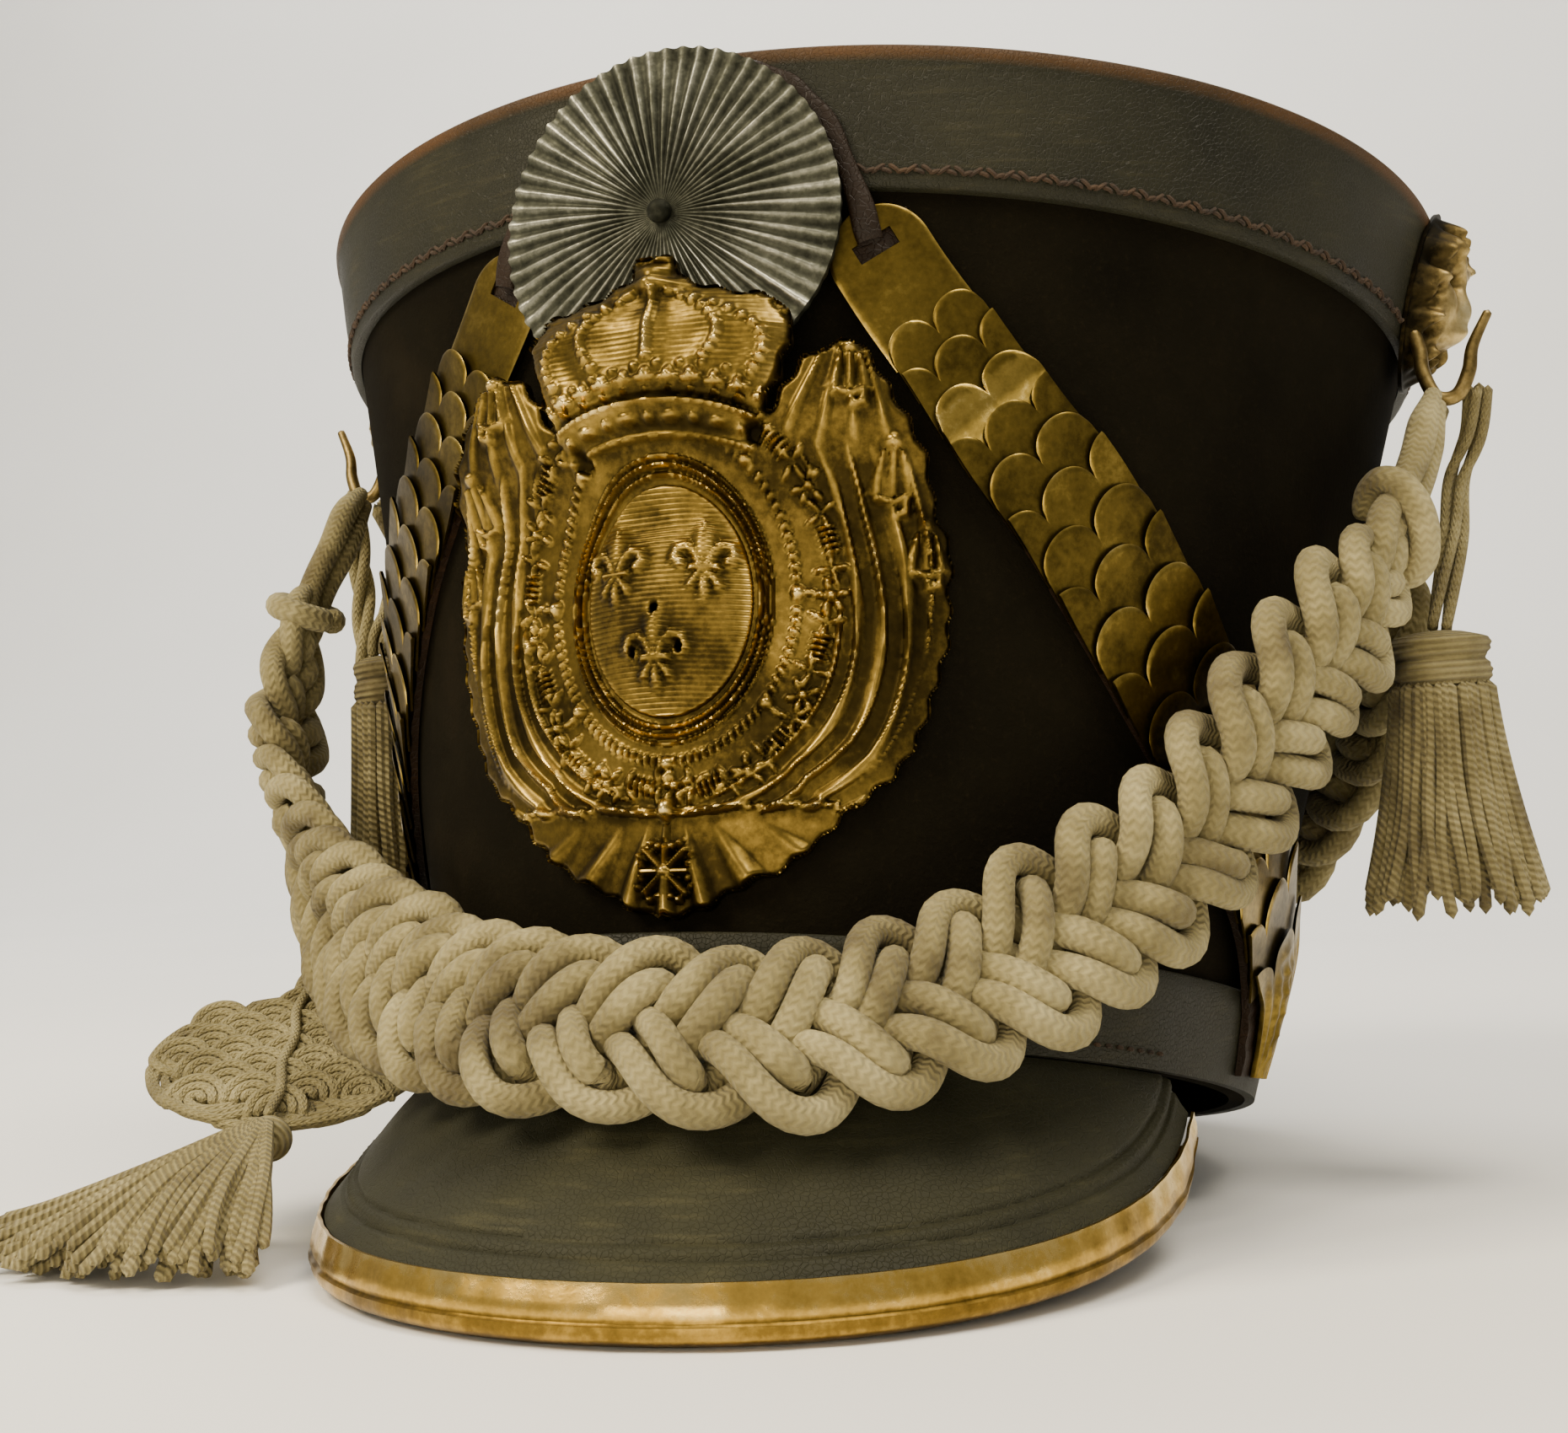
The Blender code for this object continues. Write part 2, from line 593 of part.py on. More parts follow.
def make_chin_scales(side_name, side, leather, brass, lace, parent):
    """One side's strap, its slotted top plate, overlapping scales, end plate and lace."""
    table = strap_table()
    length = table[0][-1]
    base = strap_base(table)
    ds = np.linspace(0.004, length - 0.0005, 21)
    ws = lambda d: np.linspace(-0.5, 0.5, 4) * (strap_width(table, d)
                                                 - 2 * STRAP_MARGIN)
    top, bottom = strap_grid(table, side, ds, ws, base, lambda d, w: base(d, w) + STRAP_WALL)
    closed_sheet("scale_strap_" + side_name, top, bottom, leather, parent)

    seat = lambda d, w: base(d, w) + STRAP_WALL + GAP
    lap = SCALE_WALL + SCALE_LAP_GAP
    starts = [SLOT_PLATE_LENGTH]
    for i in range(SCALE_COUNT):
        starts.append(starts[-1] + SCALE_PITCH_TOP + SCALE_PITCH_GROWTH * i)

    def lobe_depth(d):
        return SCALE_LOBE * strap_width(table, d)

    def tail(i):
        return starts[i] + lobe_depth(starts[i]) + SCALE_TUCK

    top_end = starts[0] + lobe_depth(starts[0]) + SCALE_TUCK
    slot_rows = [0.0002, 0.0014, 0.0034, SLOT_AT, SLOT_AT + SLOT_LENGTH, 0.0150, top_end]
    radius = strap_width(table, 0.0) / 2

    def slot_columns(d):
        reach = min(d, radius)
        half = strap_width(table, d) / 2 * math.sqrt(1 - ((radius - reach) / radius) ** 2)
        slot = min(SLOT_WIDTH / 2, 0.6 * half)
        return [-half, -slot, slot, half]

    top, bottom = strap_grid(table, side, slot_rows, slot_columns, seat,
                             lambda d, w: seat(d, w) + SCALE_WALL)
    closed_sheet("slot_plate_" + side_name, top, bottom, brass, parent, holes={(3, 1)})

    for i in range(SCALE_COUNT):
        begin = starts[i]
        end = tail(i + 1)
        pitch = starts[i + 1] - begin
        lobes = 2 if i % 2 == 0 else 3
        width = strap_width(table, begin)
        top, bottom = [], []
        for share in np.linspace(-0.5, 0.5, 9):
            place = share * 2 + (0.5 if lobes == 2 else 0.0)
            local = (place - round(place)) * 2
            tip = begin + lobe_depth(begin) * (1 - math.sqrt(max(0.0, 1 - local * local)))
            line_top, line_low = [], []
            for d in (tip, end):
                w = share * strap_width(table, d)
                low = seat(d, w) + lap * (end - d) / pitch
                line_low.append(on_strap(table, side, d, w, low))
                line_top.append(on_strap(table, side, d, w, low + SCALE_WALL))
            top.append(line_top)
            bottom.append(line_low)
        closed_sheet(f"scale_{side_name}_{i + 1:02d}", top, bottom, brass, parent)

    begin = starts[SCALE_COUNT]
    top, bottom = [], []
    for share in np.linspace(-0.5, 0.5, 9):
        local = (share * 2 - round(share * 2)) * 2
        tip = begin + lobe_depth(begin) * (1 - math.sqrt(max(0.0, 1 - local * local)))
        line_top, line_low = [], []
        for t in (0.0, 0.35, 0.7, 1.0):
            d = tip + (length - GAP - tip) * t
            half = (1 - t) * strap_width(table, d) + t * END_PLATE_TIP
            low = seat(d, share * half) + 1.75 * lap * (1 - t)
            swell = 0.0016 * math.sin(math.pi * t) * math.cos(math.pi * share)
            line_low.append(on_strap(table, side, d, share * half, low))
            line_top.append(on_strap(table, side, d, share * half, low + SCALE_WALL + swell))
        top.append(line_top)
        bottom.append(line_low)
    closed_sheet("strap_end_" + side_name, top, bottom, brass, parent)
    make_lace(side_name, side, table, seat, lace, parent)


def make_lace(side_name, side, table, seat, material, parent):
    """A leather lace that stands on the slot plate and runs up behind the cockade."""
    slot = on_strap(table, 1, SLOT_AT - 0.0016, 0.0, 0.0)
    half_width = bell_sizes(slot[2])[0]
    start = (math.asin(slot[0] / half_width) * half_width, slot[2])
    route = [
        # across, up, off the leather's outer face
        (start[0], start[1], 0.0012),
        (start[0] - 0.0010, start[1] + 0.0045, 0.0012),
        (start[0] - 0.0040, start[1] + 0.0130, 0.0003),
        (start[0] - 0.0090, start[1] + 0.0230, 0.0003),
        (start[0] - 0.0170, BODY_HEIGHT - 0.0060, 0.0003),
        (start[0] - 0.0270, BODY_HEIGHT - 0.0035, 0.0003),
    ]
    fine = smooth_route(route, 12)
    run = np.gradient(fine[:, :2], axis=0)
    run /= np.linalg.norm(run, axis=1)[:, None]
    top, bottom = [], []
    for (u, v, off), (du, dv) in zip(fine, run):
        line_top, line_low = [], []
        for w in (-0.5, 0.5):
            uu, vv = u - dv * w * LACE_WIDTH, v + du * w * LACE_WIDTH
            for line, height in ((line_low, off), (line_top, off + LACE_WALL)):
                place = on_front(uu, vv, height)
                place[0] *= side
                line.append(place)
        top.append(line_top)
        bottom.append(line_low)
    closed_sheet("lace_" + side_name, top, bottom, material, parent)


def make_boss(side_name, side, brass, parent):
    """An oval beast mask on the top band with a wire hook soldered under it."""
    columns = 14
    rings = [(0.0, 0.70), (0.25, 1.0), (0.5, 0.72), (0.78, 0.52), (1.0, 0.12)]
    top, bottom = [], []
    for i in range(columns):
        angle = 2 * math.pi * i / columns
        line_top, line_low = [], []
        for share, rise in rings:
            u = BOSS_HALF_WIDTH * share * math.sin(angle)
            v = BOSS_AT + BOSS_HALF_HEIGHT * share * math.cos(angle)
            muzzle = 0.22 * math.exp(-((v - BOSS_AT) / BOSS_HALF_HEIGHT + 0.25) ** 2 / 0.05)
            mane = 0.10 * math.cos(8 * angle) if share > 0.7 else 0.0
            height = BOSS_RELIEF * (rise + (muzzle if share < 0.5 else 0.0) + mane)
            turn = math.pi / 2 + u / arc_per_radian(math.pi / 2, v)
            for line, off in ((line_low, GAP), (line_top, GAP + max(height, 0.0008))):
                place = on_bell(turn, v, off)
                place[0] *= side
                line.append(place)
        top.append(line_top)
        bottom.append(line_low)
    mask = closed_sheet("cord_boss_" + side_name, top, bottom, brass, parent,
                        wrap=True, centre=True)
    low = BOSS_AT - BOSS_HALF_HEIGHT
    wall = bell_sizes(low)[0]
    hook_route = [
        (wall + 0.0041, low + 0.0110), (wall + 0.0055, low + 0.0060),
        (wall + 0.0060, low + 0.0010), (wall + 0.0085, low - 0.0045),
        (wall + 0.0125, low - 0.0045), (wall + 0.0150, low + 0.0005),
        (wall + 0.0160, low + 0.0060), (wall + 0.0195, low + 0.0135),
    ]
    route = smooth_route([(side * x, -HOOK_FORWARD, z) for x, z in hook_route], 14)
    run = np.gradient(route, axis=0)
    run /= np.linalg.norm(run, axis=1)[:, None]
    aside = np.array([0.0, 1.0, 0.0])
    turns = np.linspace(0, 2 * math.pi, 6, endpoint=False)
    loops = [[place + HOOK_WIRE / 2 * (aside * math.cos(t) + np.cross(r, aside) * math.sin(t))
              for t in turns] for place, r in zip(route, run)]
    hook = swept("hook_shape_" + side_name, loops, brass, parent)
    hook.hide_render = True
    hook.display_type = "WIRE"
    join = mask.modifiers.new("solder", "BOOLEAN")
    join.operation = "UNION"
    join.object = hook


def flat_plait(name, route, facing, widths, thicks, material, parent, sides=8):
    """A plait as a flattened bar with pulled-in edges where its strands cross."""
    run = np.gradient(route, axis=0)
    run /= np.linalg.norm(run, axis=1)[:, None]
    across = np.cross(facing, run)
    across /= np.linalg.norm(across, axis=1)[:, None]
    outward = np.cross(run, across)
    turns = np.linspace(0, 2 * math.pi, sides, endpoint=False) + math.pi / sides
    loops = []
    for i, (place, a, o) in enumerate(zip(route, across, outward)):
        scallop = 1.0 if i % 2 else 0.93
        loops.append([place + a * math.cos(t) * widths[i] / 2 * scallop
                      + o * math.sin(t) * thicks[i] / 2 for t in turns])
    swept(name, loops, material, parent)


def taper(count, route, reach, full, end):
    step = np.linalg.norm(np.diff(route, axis=0), axis=1)
    along = np.concatenate([[0.0], np.cumsum(step)])
    near = np.minimum(along, along[-1] - along)
    return end + (full - end) * smooth_step(near / reach)


def make_plaits(cotton, parent):
    route = smooth_route(FRONT_PLAIT_ROUTE, 44)
    out = route * [1 / BASE_HALF_WIDTH ** 2, 1 / BASE_HALF_DEPTH ** 2, 0.0]
    out /= np.linalg.norm(out, axis=1)[:, None]
    lean = 0.45 * smooth_step((0.045 - route[:, 2]) / 0.045)
    out[:, 2] = lean
    widths = taper(len(route), route, PLAIT_TAPER, PLAIT_WIDTH, PLAIT_END_WIDTH)
    thicks = taper(len(route), route, PLAIT_TAPER, PLAIT_THICK, PLAIT_END_THICK)
    flat_plait("front_plait", route, out, widths, thicks, cotton, parent)

    rows = smooth_route([(math.radians(a), z, k) for a, z, k in REAR_PLAIT_HALF], 60)
    half = np.array([on_bell(a, z) for a, z, _ in rows])
    thicks = PLAIT_END_THICK + (PLAIT_THICK - PLAIT_END_THICK) * smooth_step(
        np.concatenate([[0], np.cumsum(np.linalg.norm(np.diff(half, axis=0), axis=1))])
        / REAR_TAPER)
    half = np.array([on_bell(a, z, REAR_OFF_WALL + k * t / 2)
                     for (a, z, k), t in zip(rows, thicks)])
    whole = np.concatenate([half, half[-2::-1] * [-1, 1, 1]])
    route = even_spacing(whole, 38)
    out = route * [1 / BASE_HALF_WIDTH ** 2, 1 / BASE_HALF_DEPTH ** 2, 0.0]
    out /= np.linalg.norm(out, axis=1)[:, None]
    widths = taper(len(route), route, REAR_TAPER, PLAIT_WIDTH, PLAIT_END_WIDTH)
    thicks = taper(len(route), route, REAR_TAPER, PLAIT_THICK, PLAIT_END_THICK)
    flat_plait("rear_plait", route, out, widths, thicks, cotton, parent)


def cord_tube(name, points, material, parent):
    route = smooth_route(points, max(8, int(2 + route_length(points) / (2.5 * LACE_CORD))))
    curve = bpy.data.curves.new(name, "CURVE")
    curve.dimensions = "3D"
    spline = curve.splines.new("POLY")
    spline.points.add(len(route) - 1)
    for point, place in zip(spline.points, route):
        point.co = (*place, 1)
    curve.bevel_depth = LACE_CORD / 2
    curve.bevel_resolution = 2
    curve.use_fill_caps = True
    curve.materials.append(material)
    thing = bpy.data.objects.new(name, curve)
    thing.parent = parent
    bpy.context.collection.objects.link(thing)


def route_length(points):
    fine = smooth_route(points, 100)
    return float(np.linalg.norm(np.diff(fine, axis=0), axis=1).sum())


def hanging_tassel(name, top, head, skirt_radius, material, parent):
    """A knitted head and a skirt of twisted locks, hanging straight down."""
    rows = [
        # down, radius, how deep the locks cut in
        (0.0, 0.45 * head, 0.0),
        (0.0015, 0.9 * head, 0.0),
        (0.35 * TASSEL_HEAD_LENGTH, head, 0.0),
        (TASSEL_HEAD_LENGTH, 0.98 * head, 0.0),
        (1.15 * TASSEL_HEAD_LENGTH, 0.92 * head, 0.05),
        (TASSEL_HEAD_LENGTH + 0.25 * TASSEL_SKIRT_LENGTH, 1.05 * head + 0.1 * skirt_radius, 0.08),
        (TASSEL_HEAD_LENGTH + TASSEL_SKIRT_LENGTH, skirt_radius, 0.08),
    ]
    count = 2 * TASSEL_LOCKS
    loops = []
    for down, radius, cut in rows:
        loops.append([(top[0] + radius * (1 - cut * (i % 2)) * math.cos(2 * math.pi * i / count),
                       top[1] + radius * (1 - cut * (i % 2)) * math.sin(2 * math.pi * i / count),
                       top[2] - down) for i in range(count)])
    swept(name, loops, material, parent)


def make_raquette(cotton, parent):
    """A flat looped oval on its cord, leaning on the tassel that spreads on the table."""
    top = np.array(RAQUETTE_TOP)
    foot = np.array(RAQUETTE_FOOT)
    middle = (top + foot) / 2
    down = (foot - top) / np.linalg.norm(foot - top)
    across = np.cross(down, [0, 0, 1.0])
    across /= np.linalg.norm(across)
    face = np.cross(across, down)
    face *= np.sign(face[2])
    count = 32
    high, low = [], []
    for i in range(count):
        angle = 2 * math.pi * i / count
        loop = 1.0 if i % 2 else 0.94
        line_high, line_low = [], []
        for share, thick in ((0.0, 1.0), (0.65, 1.0), (1.0, 0.55)):
            place = (middle + across * RAQUETTE_HALF_WIDTH * share * loop * math.sin(angle)
                     + down * RAQUETTE_HALF_LENGTH * share * loop * math.cos(angle))
            line_high.append(place + face * RAQUETTE_THICK / 2 * thick)
            line_low.append(place - face * RAQUETTE_THICK / 2 * thick)
        high.append(line_high)
        low.append(line_low)
    closed_sheet("raquette", high, low, cotton, parent, wrap=True, centre=True)


def make_spread_tassel(cotton, parent):
    """The raquette's tassel: a half fan of locks from its head down to the table."""
    foot = np.array(RAQUETTE_FOOT)
    down = foot - np.array(RAQUETTE_TOP)
    down /= np.linalg.norm(down)
    head = foot + down * SPREAD_HEAD_DROP
    fine = smooth_route([(math.radians(a), r, z) for a, r, z in SPREAD_TASSEL_FAN], 21)
    high, low = [], []
    for i, (angle, reach, tip) in enumerate(fine):
        lock = 1.0 if i % 2 else 0.93
        line_high, line_low = [], []
        for t in (0.08, 0.35, 0.7, 1.0):
            bend = 1 - (1 - t) ** 1.6
            z_mid = head[2] + (tip - head[2]) * bend
            thick = 0.0075 + 0.0035 * math.sin(math.pi * min(1.0, t * 1.2))
            x = head[0] + reach * t * math.cos(angle) * lock
            y = head[1] + reach * t * math.sin(angle) * lock
            bottom = max(z_mid - thick, 0.0004)
            line_high.append((x, y, z_mid + thick * (1.0 if i % 2 else 0.75) * (1 - 0.35 * t)))
            line_low.append((x, y, bottom))
        high.append(line_high)
        low.append(line_low)
    closed_sheet("raquette_tassel", high, low, cotton, parent)


def rest_angle(edge_points):
    """The lean at which a plane touches the peak's edging and the back of the base rim."""
    back = BASE_SHIFT + BASE_HALF_DEPTH
    return max(math.atan2(-z, back - y) for _, y, z in edge_points), back


def stand_on_table(carrier, table, edge_points):
    """Leans the hat back about X, lifts it to the table and centres its footprint."""
    lean, back = rest_angle(edge_points)
    carrier.rotation_euler = (-lean, 0.0, 0.0)
    carrier.location = (0.0, 0.0, back * math.sin(lean))
    bpy.context.view_layer.update()
    loose = ("plait", "tassel", "raquette")
    ys = []
    depsgraph = bpy.context.evaluated_depsgraph_get()
    for thing in bpy.data.objects:
        if thing.type not in ("MESH", "CURVE") or thing.hide_render:
            continue
        if any(word in thing.name for word in loose):
            continue
        mesh = thing.evaluated_get(depsgraph).to_mesh()
        ys += [(thing.matrix_world @ v.co).y for v in mesh.vertices]
    shift = -(min(ys) + max(ys)) / 2
    carrier.location.y = shift
    table.location.y = shift


def main():
    clear_scene()
    felt = make_material("black_felt", (0.012, 0.010, 0.008), 0.95)
    leather = make_material("black_leather", (0.035, 0.036, 0.030), 0.45)
    strap = make_material("brown_leather", (0.055, 0.030, 0.015), 0.6)
    brass = make_material("worn_brass", (0.45, 0.30, 0.09), 0.35, 1.0)
    steel = make_material("grey_white_metal", (0.20, 0.19, 0.16), 0.4, 1.0)
    cotton = make_material("white_cotton_cord", (0.62, 0.57, 0.42), 0.9)
    carrier = bpy.data.objects.new("carrier", None)
    table = bpy.data.objects.new("table", None)
    bpy.context.collection.objects.link(carrier)
    bpy.context.collection.objects.link(table)

    make_body(felt, leather, carrier)
    edge_points = make_peak(leather, brass, carrier)
    make_cockade(steel, carrier)
    make_plate(brass, carrier)
    for side_name, side in (("left", 1), ("right", -1)):
        make_chin_scales(side_name, side, strap, brass, strap, carrier)
        make_boss(side_name, side, brass, carrier)
    make_plaits(cotton, carrier)
    for side_name, route, head, skirt in (
            ("left", LEFT_TASSEL_ROUTE, TASSEL_HEAD_RADIUS, TASSEL_SKIRT_RADIUS),
            ("right", RIGHT_TASSEL_ROUTE, SMALL_TASSEL_HEAD_RADIUS, SMALL_TASSEL_SKIRT_RADIUS)):
        cord_tube("side_tassel_cord_" + side_name, route, cotton, table)
        top = np.array(route[-1]) - [0, 0, TASSEL_KNOT_GAP]
        hanging_tassel("side_tassel_" + side_name, top, head, skirt, cotton, table)
    cord_tube("raquette_cord", RAQUETTE_ROUTE, cotton, table)
    make_raquette(cotton, table)
    make_spread_tassel(cotton, table)
    stand_on_table(carrier, table, edge_points)


main()
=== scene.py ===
"""Looks of a bell-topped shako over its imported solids.

Every surface is a grid of points worked out in the hat's own upright frame, whose front faces
-Y and whose wearer's left is +X, and is then leaned back to where the hat rests on the table.
The bell is an ellipse that grows evenly with height: a point at angle a and height z is
(half width(z) sin a, middle(z) - half depth(z) cos a, z). Metres, unless a name ends in _mm.
"""
import math

import bmesh
import bpy
import numpy as np
from mathutils import Matrix, Vector


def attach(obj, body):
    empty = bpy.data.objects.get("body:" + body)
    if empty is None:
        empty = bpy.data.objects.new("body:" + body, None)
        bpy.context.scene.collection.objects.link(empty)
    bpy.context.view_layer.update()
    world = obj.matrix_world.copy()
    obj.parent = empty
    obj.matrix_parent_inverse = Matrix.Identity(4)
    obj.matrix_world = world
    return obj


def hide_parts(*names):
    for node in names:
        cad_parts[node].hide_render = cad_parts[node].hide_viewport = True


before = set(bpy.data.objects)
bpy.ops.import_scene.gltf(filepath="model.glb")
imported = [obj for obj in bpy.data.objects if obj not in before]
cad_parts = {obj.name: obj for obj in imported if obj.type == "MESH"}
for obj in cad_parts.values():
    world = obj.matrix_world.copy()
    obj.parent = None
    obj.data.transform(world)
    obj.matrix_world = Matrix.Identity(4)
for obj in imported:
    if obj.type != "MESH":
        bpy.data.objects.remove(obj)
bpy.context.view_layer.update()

# Where the hat rests: turned back about X, then moved
LEAN = math.radians(12.08568)
HAT_AT = (0.0, -0.00102986, 0.02089554)

# Camera in the hat's frame, from a fit of the bell, the plate and the peak to the photograph
CAMERA_AT = (0.169207, -0.511826, -0.040648)
YAW, PITCH, ROLL = (math.radians(a) for a in (-24.3705, 15.7013, 2.7559))
LENS_MM = 56.63
SHIFT_X, SHIFT_Y = 0.1085, -0.0875


def add_camera():
    """The camera's axes in the hat's frame, carried by the hat's own lean."""
    forward = Vector((math.sin(YAW) * math.cos(PITCH), math.cos(YAW) * math.cos(PITCH),
                      math.sin(PITCH)))
    flat = Vector((math.cos(YAW), -math.sin(YAW), 0.0))
    rise = flat.cross(forward)
    right = math.cos(ROLL) * flat + math.sin(ROLL) * rise
    up = math.cos(ROLL) * rise - math.sin(ROLL) * flat
    turned = Matrix((right, up, -forward)).transposed().to_4x4()
    hat = Matrix.Translation(HAT_AT) @ Matrix.Rotation(-LEAN, 4, "X")
    data = bpy.data.cameras.new("camera")
    data.sensor_width = 36.0
    data.lens = LENS_MM
    data.shift_x, data.shift_y = SHIFT_X, SHIFT_Y
    camera = bpy.data.objects.new("camera", data)
    camera.matrix_world = hat @ Matrix.Translation(CAMERA_AT) @ turned
    bpy.context.collection.objects.link(camera)
    bpy.context.scene.camera = camera


add_camera()


# Cords, made first: routes repeat the solids' own

BODY_HEIGHT = 0.1814
TOP_HALF_WIDTH, TOP_HALF_DEPTH = 0.1250, 0.1220
BASE_HALF_WIDTH, BASE_HALF_DEPTH, BASE_SHIFT = 0.0822, 0.1033, -0.0035
GAP = 0.0003
PLAIT_WIDTH, PLAIT_THICK = 0.0350, 0.0160
PLAIT_END_THICK = 0.0070
REAR_TAPER, REAR_OFF_WALL = 0.0700, 0.0010
PLAIT_PERIOD = 0.0450
PLAIT_CORD = 0.0030
FRONT_PLAIT_ROUTE = [
    (-0.1254, -0.0113, 0.1399), (-0.1262, -0.0205, 0.1240), (-0.1290, -0.0250, 0.1130),
    (-0.1300, -0.0290, 0.1000), (-0.1320, -0.0280, 0.0870), (-0.1310, -0.0290, 0.0740),
    (-0.1250, -0.0330, 0.0600), (-0.1150, -0.0410, 0.0470), (-0.0950, -0.0610, 0.0295),
    (-0.0700, -0.0870, 0.0155), (-0.0450, -0.1070, 0.0060), (-0.0220, -0.1210, 0.0010),
    (0.0040, -0.1260, -0.0015), (0.0260, -0.1210, -0.0010), (0.0470, -0.1080, 0.0055),
    (0.0650, -0.0930, 0.0178), (0.0800, -0.0780, 0.0321), (0.0900, -0.0675, 0.0466),
    (0.0990, -0.0590, 0.0643), (0.1065, -0.0495, 0.0775), (0.1135, -0.0385, 0.0915),
    (0.1190, -0.0250, 0.1120), (0.1254, -0.0113, 0.1399),
]
REAR_PLAIT_HALF = [
    # angle in degrees, height, distance off the wall in half thicknesses
    (88.2, 0.1403, 2.75), (91.5, 0.1300, 1.4), (96.0, 0.1160, 1.0), (103.0, 0.1010, 1.0),
    (112.0, 0.0870, 1.0), (123.0, 0.0750, 1.0), (136.0, 0.0640, 1.0), (150.0, 0.0560, 1.0),
    (165.0, 0.0510, 1.0), (180.0, 0.0490, 1.0),
]
LEFT_TASSEL_ROUTE = [
    (0.1330, 0.0259, 0.1629), (0.1311, 0.0292, 0.1530), (0.1272, 0.0305, 0.1440),
    (0.1262, 0.0265, 0.1320), (0.1243, 0.0225, 0.1210), (0.1225, 0.0200, 0.1118),
]
RIGHT_TASSEL_ROUTE = [
    (-0.1185, 0.0217, 0.1643), (-0.1173, 0.0197, 0.1560), (-0.1162, 0.0175, 0.1470),
    (-0.1145, 0.0130, 0.1375), (-0.1130, 0.0060, 0.1300), (-0.1126, 0.0000, 0.1235),
    (-0.1125, -0.0006, 0.1190),
]
RAQUETTE_ROUTE = [
    (-0.1325, 0.0259, 0.1629), (-0.1348, 0.0300, 0.1530), (-0.1345, 0.0315, 0.1400),
    (-0.1335, 0.0310, 0.1200), (-0.1310, 0.0300, 0.1000), (-0.1280, 0.0265, 0.0820),
    (-0.1250, 0.0175, 0.0665), (-0.1210, 0.0010, 0.0555), (-0.1160, -0.0220, 0.0490),
    (-0.1112, -0.0380, 0.0462), (-0.1079, -0.0456, 0.0438),
]
TABLE_SHIFT = HAT_AT[1]
RAQUETTE_TOP = (-0.1080, -0.0450, 0.0440)
RAQUETTE_FOOT = (-0.0900, -0.0905, 0.0225)
RAQUETTE_HALF_WIDTH, RAQUETTE_HALF_LENGTH, RAQUETTE_THICK = 0.0300, 0.0260, 0.0070
SPREAD_TASSEL_FAN = [
    # direction in degrees from +X, reach, height of the tips
    (186.0, 0.0560, 0.0045), (200.0, 0.0570, 0.0040), (214.0, 0.0550, 0.0035),
    (228.0, 0.0500, 0.0035), (242.0, 0.0450, 0.0035), (256.0, 0.0410, 0.0035),
    (270.0, 0.0385, 0.0035), (284.0, 0.0375, 0.0040), (298.0, 0.0365, 0.0045),
]
SPREAD_HEAD_DROP = 0.0022


def to_table(points):
    """A point (x, y, z) of the hat turned by -LEAN about X and moved to where the hat rests."""
    p = np.asarray(points, float)
    y = p[..., 1] * math.cos(LEAN) + p[..., 2] * math.sin(LEAN) + HAT_AT[1]
    z = p[..., 2] * math.cos(LEAN) - p[..., 1] * math.sin(LEAN) + HAT_AT[2]
    return np.stack([p[..., 0], y, z], axis=-1)


def on_table(points):
    return np.asarray(points, float) + [0.0, TABLE_SHIFT, 0.0]


def on_bell(angle, z, off=0.0):
    """The docstring's bell, off metres outside the leather's outer face."""
    angle, z, off = np.broadcast_arrays(angle, z, off)
    share = z / BODY_HEIGHT
    width = BASE_HALF_WIDTH + (TOP_HALF_WIDTH - BASE_HALF_WIDTH) * share + off
    depth = BASE_HALF_DEPTH + (TOP_HALF_DEPTH - BASE_HALF_DEPTH) * share + off
    return np.stack([width * np.sin(angle), BASE_SHIFT * (1 - share) - depth * np.cos(angle),
                     z], axis=-1)


def smooth_step(x):
    x = np.clip(x, 0.0, 1.0)
    return x * x * (3 - 2 * x)


def unit(vectors):
    return vectors / np.maximum(np.linalg.norm(vectors, axis=-1, keepdims=True), 1e-9)


def along(route):
    """Metres travelled at each point of a route."""
    step = np.linalg.norm(np.diff(np.asarray(route)[..., :3], axis=-2), axis=-1)
    return np.concatenate([[0.0], np.cumsum(step)])


def smooth_route(points, spacing):
    """Catmull-Rom through the rows, then points one spacing apart."""
    rows = np.asarray(points, float)
    rows = np.concatenate([[2 * rows[0] - rows[1]], rows, [2 * rows[-1] - rows[-2]]])
    t = np.linspace(0, 1, 20, endpoint=False)[:, None]
    fine = [0.5 * (2 * b + (c - a) * t + (2 * a - 5 * b + 4 * c - d) * t ** 2
                   + (3 * b - a - 3 * c + d) * t ** 3)
            for a, b, c, d in zip(rows, rows[1:], rows[2:], rows[3:])]
    return even(np.concatenate(fine + [rows[-2][None]]), spacing)


def even(fine, spacing):
    run = along(fine)
    places = np.linspace(0, run[-1], max(4, int(run[-1] / spacing) + 1))
    return np.stack([np.interp(places, run, fine[:, c]) for c in range(fine.shape[1])], axis=1)


def back_rows(count, kept):
    """Rows of a plain back from last to first, both ends kept: it needs fewer than a face."""
    return np.linspace(count - 1, 0, kept).round().astype(int)


